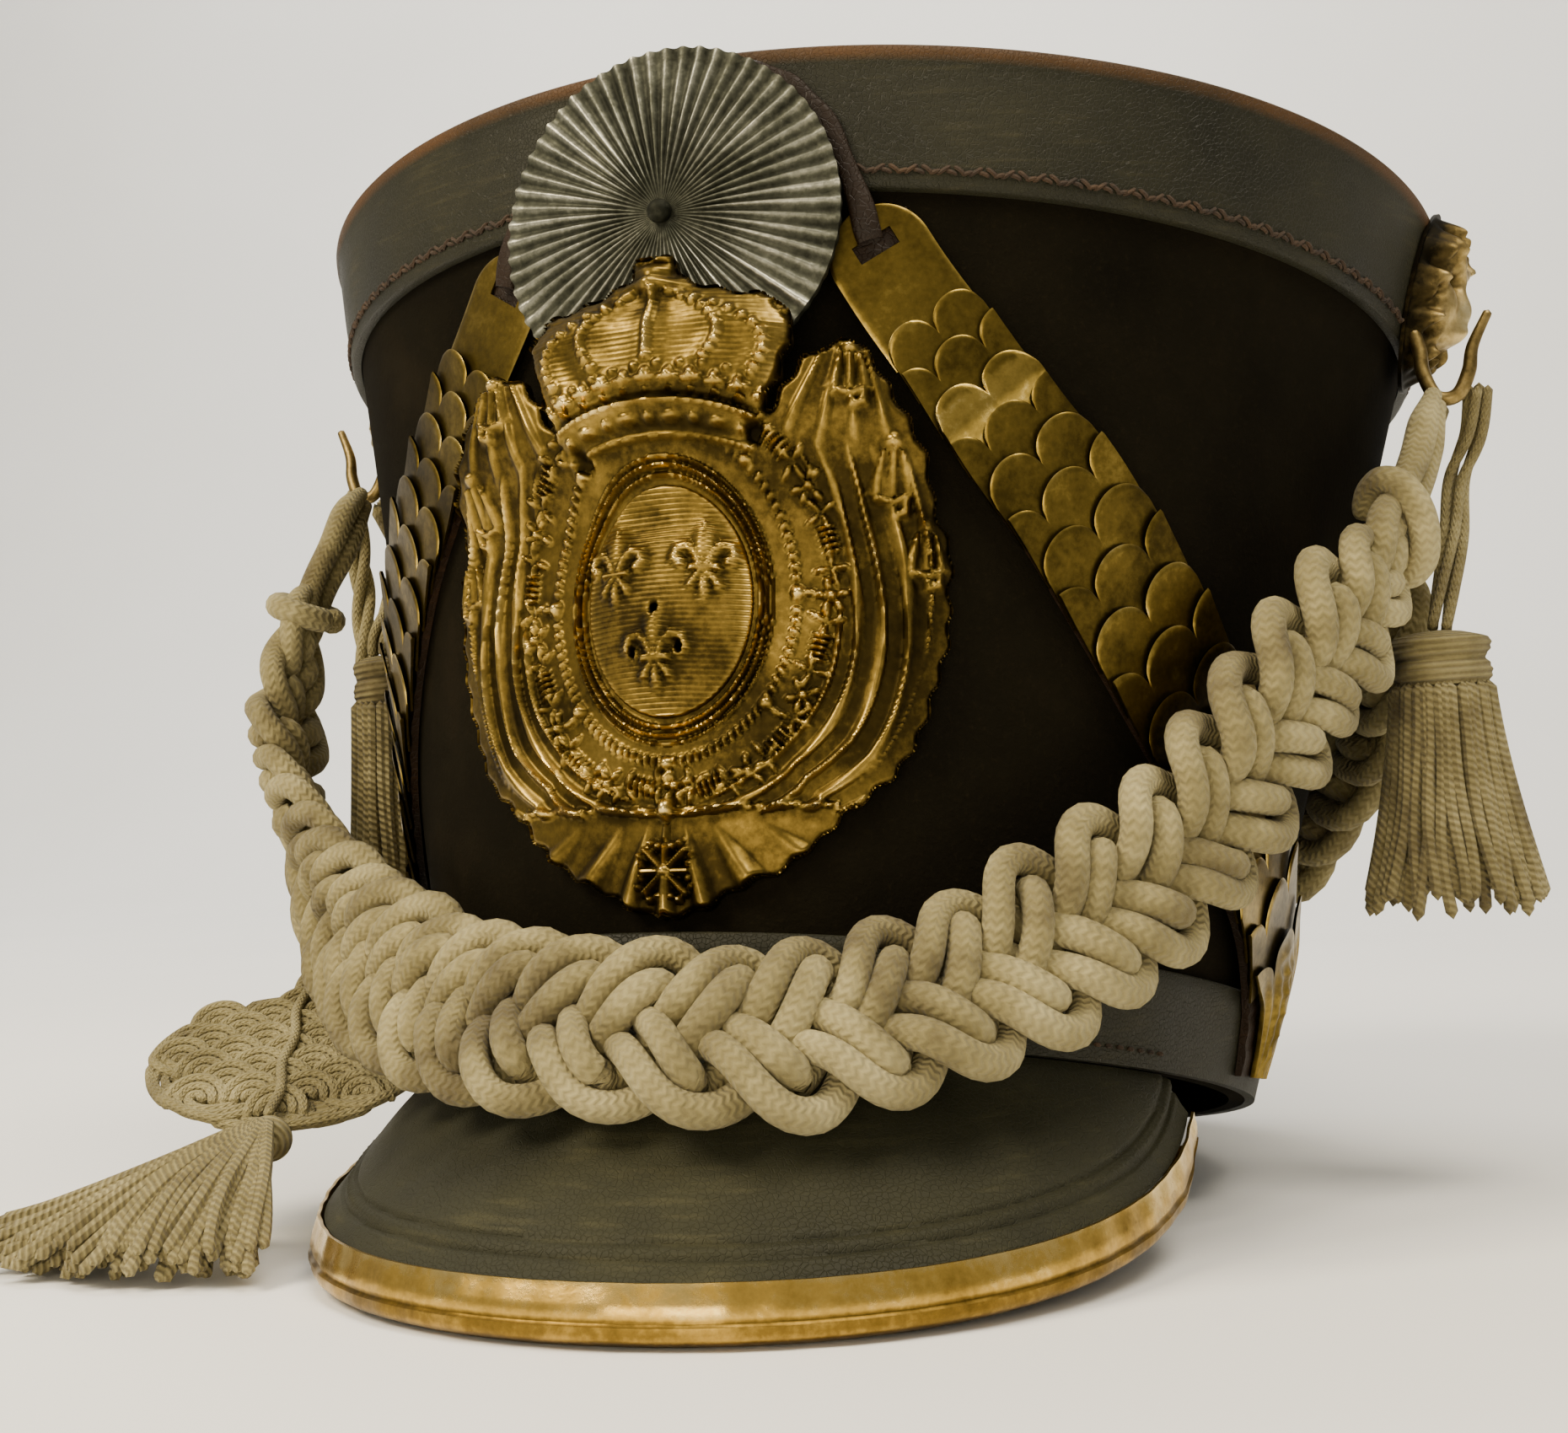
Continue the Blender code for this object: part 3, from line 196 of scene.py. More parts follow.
def sheet_part(points, wrap=(False, False), wear=0.5):
    """Quads of an [i][j] grid: UV is j's share of its row and the metres along i."""
    points = np.asarray(points, float)
    rows, cols = points.shape[:2]
    i, j = np.meshgrid(np.arange(rows - (not wrap[0])), np.arange(cols - (not wrap[1])),
                       indexing="ij")
    i1, j1 = (i + 1) % rows, (j + 1) % cols
    faces = np.stack([i * cols + j, i1 * cols + j, i1 * cols + j1, i * cols + j1], axis=-1)
    step = np.linalg.norm(np.diff(points, axis=0), axis=-1).mean(axis=1)
    run = np.concatenate([[0.0], np.cumsum(step), [step.sum() + step[-1]]])
    width = cols if wrap[1] else cols - 1
    uvs = np.stack([np.stack([j, j, j + 1, j + 1], axis=-1) / width,
                    np.stack([run[i], run[i + 1], run[i + 1], run[i]], axis=-1)], axis=-1)
    worn = np.broadcast_to(wear, (rows, cols)).ravel()
    return points.reshape(-1, 3), faces.reshape(-1, 4), uvs.reshape(-1, 4, 2), worn


def tube_parts(paths, sideways, radii, sides=10, blunt=(1.0, 1.0)):
    """Circles round each path: centre + r (cos t N + sin t T x N), closed by round ends."""
    paths = np.asarray(paths, float)
    run = unit(np.gradient(paths, axis=1))
    first = unit(np.cross(run, np.broadcast_to(sideways, paths.shape)))
    second = np.cross(run, first)
    t = np.linspace(0, 2 * math.pi, sides, endpoint=False)
    radii = np.broadcast_to(radii, paths.shape[:2])
    parts = []
    for path, n, b, r in zip(paths, first, second, radii):
        s = along(path)
        for end, keep in ((s, blunt[0]), (s[-1] - s, blunt[1])):
            x = np.clip(end / (keep * r + 1e-9), 0, 1) if keep else 1.0
            r = r * np.sqrt(np.maximum(1 - (1 - x) ** 2, 1e-6))
        ring = (np.cos(t)[None, :, None] * n[:, None] + np.sin(t)[None, :, None] * b[:, None])
        part = sheet_part(path[:, None] + r[:, None, None] * ring, wrap=(False, True))
        part[2][..., 1] += 7.31 * path[0].sum()
        parts.append(part)
    return parts


def make_piece(name, parts, material, replaced=()):
    """One mesh of all the parts, with its UVs, its wear values and outward faces."""
    starts = np.cumsum([0] + [len(p[0]) for p in parts[:-1]])
    verts = np.concatenate([p[0] for p in parts])
    faces = np.concatenate([p[1] + s for p, s in zip(parts, starts)])
    mesh = bpy.data.meshes.new(name)
    mesh.vertices.add(len(verts))
    mesh.vertices.foreach_set("co", verts.ravel())
    mesh.loops.add(faces.size)
    mesh.loops.foreach_set("vertex_index", faces.ravel())
    mesh.polygons.add(len(faces))
    mesh.polygons.foreach_set("loop_start", np.arange(0, faces.size, 4))
    mesh.update(calc_edges=True)
    layer = mesh.uv_layers.new(name="UVMap")
    layer.data.foreach_set("uv", np.concatenate([p[2] for p in parts]).ravel())
    worn = mesh.attributes.new("wear", "FLOAT", "POINT")
    worn.data.foreach_set("value", np.concatenate([p[3] for p in parts]))
    work = bmesh.new()
    work.from_mesh(mesh)
    bmesh.ops.recalc_face_normals(work, faces=work.faces)
    work.to_mesh(mesh)
    work.free()
    mesh.shade_smooth()
    mesh.set_sharp_from_angle(angle=math.radians(50))
    mesh.materials.append(material)
    piece = bpy.data.objects.new(name, mesh)
    bpy.context.collection.objects.link(piece)
    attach(piece, "root")
    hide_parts(*replaced)
    return piece


def colour(code):
    """sRGB hex to linear: ((c + 0.055) / 1.055) ** 2.4, or c / 12.92 for the darkest."""
    parts = [int(code[k:k + 2], 16) / 255 for k in (0, 2, 4)]
    return (*[((c + 0.055) / 1.055) ** 2.4 if c > 0.04045 else c / 12.92 for c in parts], 1.0)


def add(tree, kind, sockets=(), **settings):
    """A shader node with its settings, and its sockets linked or set."""
    node = tree.nodes.new("ShaderNode" + kind)
    for key, value in settings.items():
        setattr(node, key, value)
    for key, value in dict(sockets).items():
        if isinstance(value, bpy.types.NodeSocket):
            tree.links.new(value, node.inputs[key])
        else:
            node.inputs[key].default_value = value
    return node


def noise(tree, where, scale, detail=4.0, rough=0.55):
    return add(tree, "TexNoise", {"Vector": where, "Scale": scale, "Detail": detail,
                                  "Roughness": rough}).outputs["Fac"]


def ramp(tree, value, stops):
    """Colours at places along 0 to 1, as (place, hex)."""
    node = add(tree, "ValToRGB", {"Fac": value})
    band = node.color_ramp.elements
    while len(band) < len(stops):
        band.new(0.5)
    for element, (place, code) in zip(band, stops):
        element.position = place
        element.color = colour(code)
    return node.outputs["Color"]


def maths(tree, operation, *values):
    return add(tree, "Math", dict(enumerate(values)), operation=operation).outputs[0]


def stretch(tree, value, low, high, out_low, out_high):
    node = add(tree, "MapRange", {"Value": value, "From Min": low, "From Max": high,
                                  "To Min": out_low, "To Max": out_high})
    return node.outputs["Result"]


def tint(tree, factor, first, second, blend="MIX"):
    node = add(tree, "Mix", data_type="RGBA", blend_type=blend)
    for k, value in ((0, factor), (6, first), (7, second)):
        if isinstance(value, bpy.types.NodeSocket):
            tree.links.new(value, node.inputs[k])
        else:
            node.inputs[k].default_value = value
    return node.outputs[2]


def start_material(name):
    material = bpy.data.materials.new(name)
    material.use_nodes = True
    tree = material.node_tree
    place = add(tree, "TexCoord")
    return material, tree, tree.nodes["Principled BSDF"], place.outputs


def bump(tree, shader, height, distance, strength=1.0, under=None):
    node = add(tree, "Bump", {"Height": height, "Distance": distance, "Strength": strength})
    if under:
        tree.links.new(under, node.inputs["Normal"])
    tree.links.new(node.outputs["Normal"], shader.inputs["Normal"])
    return node.outputs["Normal"]


def cotton(name, plies, per_metre, knitted, depth, light="b0a476", dark="5f5538"):
    """Yarn lines as a sine of plies round the cord plus turns along it, under soft fuzz; a
    knitted cord's lines zigzag from column to column."""
    material, tree, shader, place = start_material(name)
    split = add(tree, "SeparateXYZ", {0: place["UV"]})
    around = maths(tree, "MULTIPLY", split.outputs["X"], plies)
    if knitted:
        around = maths(tree, "PINGPONG", around, 0.5)
    turn = maths(tree, "MULTIPLY_ADD", split.outputs["Y"], per_metre, around)
    twist = maths(tree, "MULTIPLY_ADD",
                  maths(tree, "SINE", maths(tree, "MULTIPLY", turn, 2 * math.pi)), 0.5, 0.5)
    fuzz = noise(tree, place["Object"], 1300.0, 5.0, 0.72)
    lumps = noise(tree, place["Object"], 230.0, 3.0, 0.5)
    height = maths(tree, "MULTIPLY_ADD", fuzz, 1.2 if knitted else 0.5,
                   maths(tree, "MULTIPLY_ADD", lumps, 1.2, twist))
    grime = noise(tree, place["Object"], 46.0, 6.0, 0.62)
    clean = ramp(tree, stretch(tree, grime, 0.34, 0.68, 0.0, 1.0),
                 [(0.0, dark), (0.45, "8a7f55"), (1.0, light)])
    # Painted shade: the colour is darkened towards 574c30 in the grooves between the plies, where
    # twist and fuzz are low, up to 0.30 on knitted cord and 0.72 on twisted strands.
    ply_groove_shade = stretch(tree, maths(tree, "ADD", twist, fuzz), 0.35, 1.2,
                    0.30 if knitted else 0.72, 0.0)
    tree.links.new(tint(tree, ply_groove_shade, clean, colour("574c30")), shader.inputs["Base Color"])
    shader.inputs["Roughness"].default_value = 0.95
    shader.inputs["Specular IOR Level"].default_value = 0.10
    shader.inputs["Sheen Weight"].default_value = 0.10
    shader.inputs["Sheen Roughness"].default_value = 0.6
    bump(tree, shader, height, depth)
    return material


def plait_parts(route, outward, lead):
    """Three doubled strands: each swings across as A (sin p - sin 3p / 9) and in and out as
    B sin 2p, a third of a period apart, with its two cords side by side in the plait's face.
    Over the lead at each end only one strand goes on to the hook; where that shows, it comes
    through a loop of the others."""
    run = unit(np.gradient(route, axis=0))
    across = unit(np.cross(outward, run))
    out = np.cross(run, across)
    s = along(route)
    near = np.minimum(s, s[-1] - s)
    full = smooth_step((near - lead) / 0.040)
    thin = 0.25 if lead > 0.02 else 0.55
    swing = (PLAIT_WIDTH * (0.40 + 0.60 * full) / 2 - 1.95 * PLAIT_CORD).clip(0) / 1.11
    paths, radii = [], []
    wander = np.random.default_rng(7)
    for k in range(3):
        cord = PLAIT_CORD * (0.60 + 0.40 * smooth_step(near / 0.012))
        if k:
            cord = cord * (thin + (1 - thin) * smooth_step((near - lead + 0.004) / 0.014))
        p = 2 * math.pi * (s / PLAIT_PERIOD + k / 3)
        x = swing * (np.sin(p) - np.sin(3 * p) / 9)
        slope = np.gradient(x, s)
        lean = np.sqrt(1 + slope ** 2)
        for side in (-1, 1):
            shake = wander.uniform(0, 6.3, 4)
            loose = 0.0007 * full * np.sin(s * 260 + shake[0])
            lift = full * (0.0037 * np.sin(2 * p) + 0.0006 * np.sin(s * 330 + shake[1]))
            aside = side * cord * (1.0 + 0.05 * np.sin(s * 210 + shake[3]))
            paths.append(route + across * (x + loose + aside / lean)[:, None]
                         + run * (-aside * slope / lean)[:, None] + out * lift[:, None])
            radii.append(cord * (1 + 0.06 * np.sin(s * 170 + shake[2])))
    fine = np.array(paths)
    parts = tube_parts(fine, np.broadcast_to(out, fine.shape), np.array(radii), 12, (1.0, 1.0))
    t = np.linspace(-math.pi / 2, 1.5 * math.pi, 70)[:, None]
    for at in np.searchsorted(s, (0.038, s[-1] - 0.038)) if lead > 0.02 else ():
        ring = (route[at] + 0.0082 * np.cos(t) * across[at] + 0.0062 * np.sin(t) * out[at]
                + 0.0050 * np.cos(t + 0.4) * run[at])
        parts += tube_parts(ring[None], run[at], PLAIT_CORD, 12)
    return parts


def bell_out(route):
    out = route * [1 / BASE_HALF_WIDTH ** 2, 1 / BASE_HALF_DEPTH ** 2, 0.0]
    return unit(out)


def leaned(parts):
    return [(to_table(p[0]), *p[1:]) for p in parts]


def make_plaits(material):
    """The front plait stands off the hat on its way between the hooks; the rear one lies on
    the felt."""
    route = smooth_route(FRONT_PLAIT_ROUTE, 0.001)
    out = bell_out(route)
    out[:, 2] = 0.45 * smooth_step((0.045 - route[:, 2]) / 0.045)
    front = make_piece("plaited_cords_front", leaned(plait_parts(route, out, 0.030)), material,
                       ["front_plait"])

    rows = smooth_route([(math.radians(a), z, k) for a, z, k in REAR_PLAIT_HALF], 0.01)
    half = on_bell(rows[:, 0], rows[:, 1])
    thick = PLAIT_END_THICK + (PLAIT_THICK - PLAIT_END_THICK) * smooth_step(
        along(half) / REAR_TAPER)
    half = on_bell(rows[:, 0], rows[:, 1], REAR_OFF_WALL + rows[:, 2] * thick / 2)
    route = even(np.concatenate([half, half[-2::-1] * [-1, 1, 1]]), 0.0016)
    rear = make_piece("plaited_cords_rear",
                      leaned(plait_parts(route, bell_out(route), 0.008)),
                      material, ["rear_plait"])


def rope_parts(route, sideways, strands, off, radius, pitch):
    """Thin cords wound round a route: each at off (cos p A + sin p B) from it."""
    run = unit(np.gradient(route, axis=0))
    a = unit(np.cross(run, np.broadcast_to(sideways, route.shape)))
    b = np.cross(run, a)
    s = along(route)
    paths = []
    for k in range(strands):
        p = 2 * math.pi * (s / pitch + k / strands)
        paths.append(route + off * (np.cos(p)[:, None] * a + np.sin(p)[:, None] * b))
    fine = np.array(paths)
    return tube_parts(fine, np.broadcast_to(sideways, fine.shape), radius, 10)


TASSEL_HEAD_LENGTH, TASSEL_SKIRT_LENGTH = 0.0115, 0.0470
TASSEL_STRAND = 0.00125


def tassel_parts(top, head, skirt, strands):
    """A head of two knitted rolls, r = head (0.86 + 0.14 |sin|), over a skirt of twisted
    strands whose radius eases from the head's to the skirt's."""
    a = np.linspace(0, 2 * math.pi, 60, endpoint=False)
    t = np.linspace(0, 1, 34)
    rolls = 0.84 + 0.16 * np.abs(np.sin(2 * math.pi * t)) ** 0.7
    ends = np.sqrt(np.clip(np.minimum(t, 1.15 - t) / 0.16, 0, 1))
    r = head * rolls * (0.12 + 0.88 * ends)
    knit = 1 + 0.035 * np.sin(15 * a[None] + 26 * t[:, None]) * np.sin(15 * a[None]
                                                                       - 26 * t[:, None])
    radius = r[:, None] * knit
    parts = [sheet_part(np.stack([top[0] + radius * np.cos(a), top[1] + radius * np.sin(a),
                                  np.broadcast_to((top[2] - TASSEL_HEAD_LENGTH * t)[:, None],
                                                  radius.shape)], axis=-1), (False, True))]
    deal = np.random.default_rng(11)
    s = np.linspace(0, 1, 32)
    for count, share, reach in ((strands, 0.94, 1.0), (int(0.8 * strands), 0.74, 0.97),
                                (int(0.5 * strands), 0.45, 0.93)):
        turn = 2 * math.pi * (np.arange(count) + deal.uniform(-0.38, 0.38, count)) / count
        length = TASSEL_SKIRT_LENGTH * reach * (1 + deal.uniform(-0.08, 0.02, count))
        open_out = head * share + (skirt - TASSEL_STRAND - head * share) * (
            0.25 * s + 0.75 * s ** 1.6)[None] * share * deal.uniform(0.93, 1.02, count)[:, None]
        wave = turn[:, None] + 0.09 * s * np.sin(6 * s[None]
                                                 + deal.uniform(0, 6.3, count)[:, None])
        paths = np.stack([top[0] + open_out * np.cos(wave), top[1] + open_out * np.sin(wave),
                          top[2] - 0.92 * TASSEL_HEAD_LENGTH - length[:, None] * s], axis=-1)
        out = np.stack([-np.sin(turn), np.cos(turn), 0 * turn], axis=-1)[:, None]
        parts += tube_parts(paths, out, TASSEL_STRAND, 7)
    return parts


def make_side_tassels(cord_material, strand_material):
    """Each side's thin cords from its hook down to a tassel that hangs straight."""
    for side, route, head, skirt, strands in (
            ("left", LEFT_TASSEL_ROUTE, 0.0098, 0.0190, 40),
            ("right", RIGHT_TASSEL_ROUTE, 0.0061, 0.0088, 22)):
        line = on_table(smooth_route(route, 0.001))
        cord = make_piece("tassel_cords_" + side,
                          rope_parts(line, (1.0, 0.0, 0.0), 4, 0.0019, 0.0011, 0.150),
                          cord_material, ["side_tassel_cord_" + side])
        top = line[-1] + [0, 0, 0.0005]
        tassel = make_piece("tassel_" + side, tassel_parts(top, head, skirt, strands),
                            strand_material, ["side_tassel_" + side])


def raquette_axes():
    top, foot = on_table(RAQUETTE_TOP), on_table(RAQUETTE_FOOT)
    down = unit(foot - top)
    across = unit(np.cross(down, [0, 0, 1.0]))
    face = np.cross(across, down)
    return (top + foot) / 2, across, down, face * np.sign(face[2])


def raquette_parts():
    """Rows of arches of three cords, each row half an arch aside of the last and lying on it,
    inside a rim of larger three-cord loops; a thin cord runs down the middle."""
    middle, across, down, face = raquette_axes()
    cord = 0.00115
    half_w, half_l = RAQUETTE_HALF_WIDTH - 0.0015, RAQUETTE_HALF_LENGTH - 0.0015
    arch, row_step = 0.0112, 0.0050

    def place(a, b, c):
        return (middle + np.multiply.outer(a, across) + np.multiply.outer(b, down)
                + np.multiply.outer(c, face))

    parts = []
    bend = np.linspace(-1.9, 1.9, 24)
    for row in range(-5, 6):
        for k in range(-3, 4):
            at_a, at_b = (k + 0.5 * (row % 2)) * arch, row * row_step
            if math.hypot(at_a / (0.86 * half_w), at_b / (0.88 * half_l)) > 1:
                continue
            for reach in (0.0058, 0.0036, 0.0014):
                a = at_a + reach * np.sin(bend) * 0.97
                b = at_b - reach * np.cos(bend) * 1.05
                high = 0.0006 + 0.0015 * np.cos(bend) * reach / 0.0058
                parts += tube_parts(place(a, b, high)[None], face, cord, 7)
    for k in range(11):
        turn = 2 * math.pi * (k + 0.25) / 11
        root = np.array([0.72 * half_w * math.sin(turn), 0.72 * half_l * math.cos(turn)])
        for n, reach in enumerate((0.0096, 0.0073, 0.0050)):
            bend = np.linspace(-2.0, 2.0, 36)
            a = root[0] + reach * np.sin(turn + bend)
            b = root[1] + reach * np.cos(turn + bend)
            rim = np.maximum(np.hypot(a / half_w, b / half_l), 1.0)
            rise = 0.0008 * (k % 2) - 0.0014 * (np.abs(bend) / 2.0) ** 4 - 0.0002 * n
            parts += tube_parts(place(a / rim, b / rim, rise)[None], face, cord, 7)
    under = np.linspace(-1, 1, 24)[:, None]
    spin = np.linspace(0, 2 * math.pi, 60, endpoint=False)[None]
    flat = np.sqrt(np.maximum(1 - under ** 2, 1e-4))
    bed = (middle + (0.86 * half_w * flat * np.cos(spin))[..., None] * across
           + (0.86 * half_l * flat * np.sin(spin))[..., None] * down
           + (0.0012 * under - 0.0008 + 0 * spin)[..., None] * face)
    parts.append(sheet_part(bed, (False, True)))
    spine = np.linspace(-half_l - 0.001, half_l + 0.001, 60)
    line = place(0.0006 * np.sin(spine * 300), spine, 0.0030 + 0 * spine)
    return parts + tube_parts(line[None], across, 0.0011, 8)


def spread_parts():
    """Strands from the head over each other to the table: height falls as 1-(1-t)^1.6."""
    middle, across, down, face = raquette_axes()
    head = on_table(RAQUETTE_FOOT) + down * SPREAD_HEAD_DROP
    fan = np.array(SPREAD_TASSEL_FAN)
    deal = np.random.default_rng(5)
    t = np.linspace(0, 1, 32)
    parts = []
    for layer, (count, lift, reach_share) in enumerate(
            ((46, 1.0, 0.97), (46, 0.62, 1.0), (40, 0.25, 1.02), (30, 0.0, 0.93))):
        angle = np.linspace(fan[0, 0], fan[-1, 0], count) + deal.uniform(-3, 3, count)
        reach = np.interp(angle, fan[:, 0], fan[:, 1]) * reach_share * deal.uniform(
            0.84, 1.03, count)
        turn = np.radians(angle)
        start = head[2] + 0.0045 * (lift - 0.2)
        low = TASSEL_STRAND + 0.0018 * (3 - layer)
        over = np.interp(angle, (200, 250), (0, 1))[:, None]
        straight = 1 - (1 - t) ** (1.35 + 0.2 * deal.uniform(-1, 1, count)[:, None])
        fall = (1 - over) * straight + over * t ** 1.25
        z = np.maximum(start + (low - start) * fall, TASSEL_STRAND + 0.0002)
        sway = 0.0018 * np.sin(3.5 * t[None] + deal.uniform(0, 6.3, count)[:, None]) * t
        far = 0.0012 + (reach[:, None] - 0.0012) * (t + 0.10 * over * np.sin(math.pi * t))
        x = head[0] + far * np.cos(turn)[:, None] - sway * np.sin(turn)[:, None]
        y = head[1] + far * np.sin(turn)[:, None] + sway * np.cos(turn)[:, None]
        aside = np.stack([-np.sin(turn), np.cos(turn), 0 * turn], axis=-1)[:, None]
        parts += tube_parts(np.stack([x, y, z], axis=-1), aside, TASSEL_STRAND, 7)
    a = np.linspace(0, 2 * math.pi, 40, endpoint=False)
    u = np.linspace(0, math.pi, 20)
    spin = (np.sin(u)[:, None, None] * (np.cos(a)[None, :, None] * across
                                        + np.sin(a)[None, :, None] * face)
            + 0.9 * np.cos(u)[:, None, None] * down)
    parts.append(sheet_part(head + 0.0046 * spin, (False, True)))
    return parts


def make_raquette(cord_material, strand_material):
    """The long cord, the raquette it carries and the tassel spread on the table."""
    line = on_table(smooth_route(RAQUETTE_ROUTE, 0.001))
    middle, across, down, face = raquette_axes()
    head = on_table(RAQUETTE_FOOT)
    cord = make_piece("raquette_cords",
                      rope_parts(line, (1.0, 0.0, 0.0), 3, 0.0017, 0.0015, 0.040),
                      cord_material, ["raquette_cord"])
    disc = make_piece("raquette_weave", raquette_parts(), cord_material, ["raquette"])
    tassel = make_piece("raquette_strands", spread_parts(), strand_material,
                        ["raquette_tassel"])


cord_cotton = cotton("cotton_cord", 8, 620.0, True, 0.00028)
strand_cotton = cotton("cotton_strand", 2, 640.0, False, 0.00050, "a99d70", "5a5034")
make_plaits(cord_cotton)
make_side_tassels(cord_cotton, strand_cotton)
make_raquette(cord_cotton, strand_cotton)


# Felt body and its leather bands

FELT_WALL, BAND_WALL = 0.0030, 0.0020
TOP_BAND_HEIGHT, BASE_BAND_HEIGHT = 0.0275, 0.0180
TOP_DISC_WALL, TOP_DISC_DROP = 0.0025, 0.0020
FELT_OFF = -(BAND_WALL + GAP)


def felt_material():
    """Matted black nap with paler rubbed and dusty places."""
    material, tree, shader, place = start_material("felt_nap")
    nap = noise(tree, place["Object"], 900.0, 6.0, 0.7)
    patches = noise(tree, place["Object"], 22.0, 5.0, 0.6)
    base = ramp(tree, stretch(tree, patches, 0.3, 0.75, 0.0, 1.0),
                [(0.0, "0d0b06"), (0.6, "15120a"), (1.0, "1f1a10")])
    tree.links.new(tint(tree, stretch(tree, nap, 0.55, 0.85, 0.0, 0.3), base,
                        colour("332b1b")), shader.inputs["Base Color"])
    shader.inputs["Roughness"].default_value = 1.0
    shader.inputs["Specular IOR Level"].default_value = 0.04
    bump(tree, shader, maths(tree, "MULTIPLY_ADD", patches, 0.8, nap), 0.0005)
    return material


def leather_material(name, low, high, rub, crack_scale, rough=(0.42, 0.62)):
    """Grain from cell edges, long scratches, and colour rubbed paler in patches."""
    material, tree, shader, place = start_material(name)
    patches = noise(tree, place["Object"], 26.0, 6.0, 0.6)
    long_way = add(tree, "Mapping", {"Vector": place["Object"], "Scale": (60.0, 60.0, 900.0)})
    scratch = noise(tree, long_way.outputs["Vector"], 1.0, 3.0, 0.5)
    cells = add(tree, "TexVoronoi", {"Vector": place["Object"], "Scale": crack_scale},
                feature="DISTANCE_TO_EDGE").outputs["Distance"]
    grain = stretch(tree, cells, 0.0, 0.10, 0.0, 1.0)
    fine = noise(tree, place["Object"], 1400.0, 4.0, 0.6)
    base = ramp(tree, stretch(tree, patches, 0.32, 0.7, 0.0, 1.0), [(0.0, low), (1.0, high)])
    worn = stretch(tree, maths(tree, "MULTIPLY", scratch, patches), 0.30, 0.42, 0.0, 0.45)
    edge = add(tree, "Attribute", attribute_name="wear").outputs["Fac"]
    brown = maths(tree, "MULTIPLY", stretch(tree, edge, 0.5, 1.0, 0.0, 1.0),
                  stretch(tree, patches, 0.3, 0.6, 0.3, 1.0))
    shade = tint(tree, brown, tint(tree, worn, base, colour(rub)), colour("4a331b"))
    tree.links.new(shade, shader.inputs["Base Color"])
    tree.links.new(stretch(tree, patches, 0.3, 0.7, *rough), shader.inputs["Roughness"])
    shader.inputs["Specular IOR Level"].default_value = 0.18
    height = maths(tree, "MULTIPLY_ADD", grain, 0.45, maths(tree, "MULTIPLY_ADD", scratch, 0.5,
                                                            maths(tree, "MULTIPLY", fine, 0.4)))
    bump(tree, shader, height, 0.00018)
    return material


def ring_parts(profile, around=360, wear=0.5, ripple=0.0):
    """The closed profile of (off, z) carried round the bell, with a slow ripple on it."""
    a = np.linspace(0, 2 * math.pi, around, endpoint=False)[:, None]
    off, z = (np.array(c)[None] for c in zip(*profile))
    wave = ripple * (np.sin(5 * a + 40 * z) + 0.6 * np.sin(11 * a - 70 * z + 1.0)
                     + 0.4 * np.sin(23 * a + 1.7)) / 2
    grid = on_bell(a, z, off + wave)
    return [sheet_part(to_table(grid), (True, True), np.broadcast_to(wear, grid.shape[:2]))]


def fine_profile(corners, spacing=0.003):
    """Points along a closed run of straight sides, with each corner kept."""
    line = []
    for (o0, z0), (o1, z1) in zip(corners, corners[1:] + corners[:1]):
        n = max(1, int(math.hypot(o1 - o0, z1 - z0) / spacing))
        line += [(o0 + (o1 - o0) * k / n, z0 + (z1 - z0) * k / n) for k in range(n)]
    return line


def make_body(felt, band, rough_leather):
    """Felt wall, top disc, and the two leather bands with their rolled and rubbed edges."""
    disc_top = BODY_HEIGHT - TOP_DISC_DROP
    felt_top = disc_top - TOP_DISC_WALL - GAP
    inside = FELT_OFF - FELT_WALL
    make_piece("felt_wall", ring_parts(fine_profile(
        [(FELT_OFF, 0.0), (FELT_OFF, felt_top), (inside, felt_top), (inside, 0.0)], 0.009),
        ripple=0.00022), felt, ["felt_body"])
    low = BODY_HEIGHT - TOP_BAND_HEIGHT
    profile = fine_profile([
        (-BAND_WALL, low), (-0.0004, low), (0.0, low + 0.0004), (0.00015, low + 0.0120),
        (0.0, BODY_HEIGHT - 0.0030), (0.00045, BODY_HEIGHT - 0.0016),
        (0.00045, BODY_HEIGHT - 0.0003), (0.0, BODY_HEIGHT + 0.0002),
        (-BAND_WALL + 0.0003, BODY_HEIGHT + 0.0002), (-BAND_WALL, BODY_HEIGHT - 0.0003)], 0.002)
    rim = 0.5 + 0.5 * np.array([z > BODY_HEIGHT - 0.0018 for _, z in profile])
    make_piece("leather_top_band", ring_parts(profile, wear=rim, ripple=0.00006), band,
               ["top_band"])
    top = BASE_BAND_HEIGHT
    make_piece("leather_base_band", ring_parts(fine_profile([
        (0.0, 0.0), (0.0001, 0.008), (0.0, top - 0.0004), (-0.0004, top), (-BAND_WALL, top),
        (-BAND_WALL, 0.0)]), ripple=0.00005), band, ["base_band"])
    share = np.linspace(1e-4, 1, 16)[:, None]
    a = np.linspace(0, 2 * math.pi, 240, endpoint=False)[None]

    def disc(z, sag):
        rim = on_bell(a, z, FELT_OFF)
        hub = np.array([0.0, 0.0, z])
        face = hub + (rim - hub) * share[..., None]
        face[..., 2] -= sag * np.cos(share * math.pi / 2) ** 2
        return face

    upper, lower = disc(disc_top, 0.0012), disc(disc_top - TOP_DISC_WALL, 0.0012)
    wall = np.concatenate([upper, lower[::-1]])
    make_piece("leather_crown", [sheet_part(to_table(wall), (False, True))], rough_leather,
               ["top_disc"])


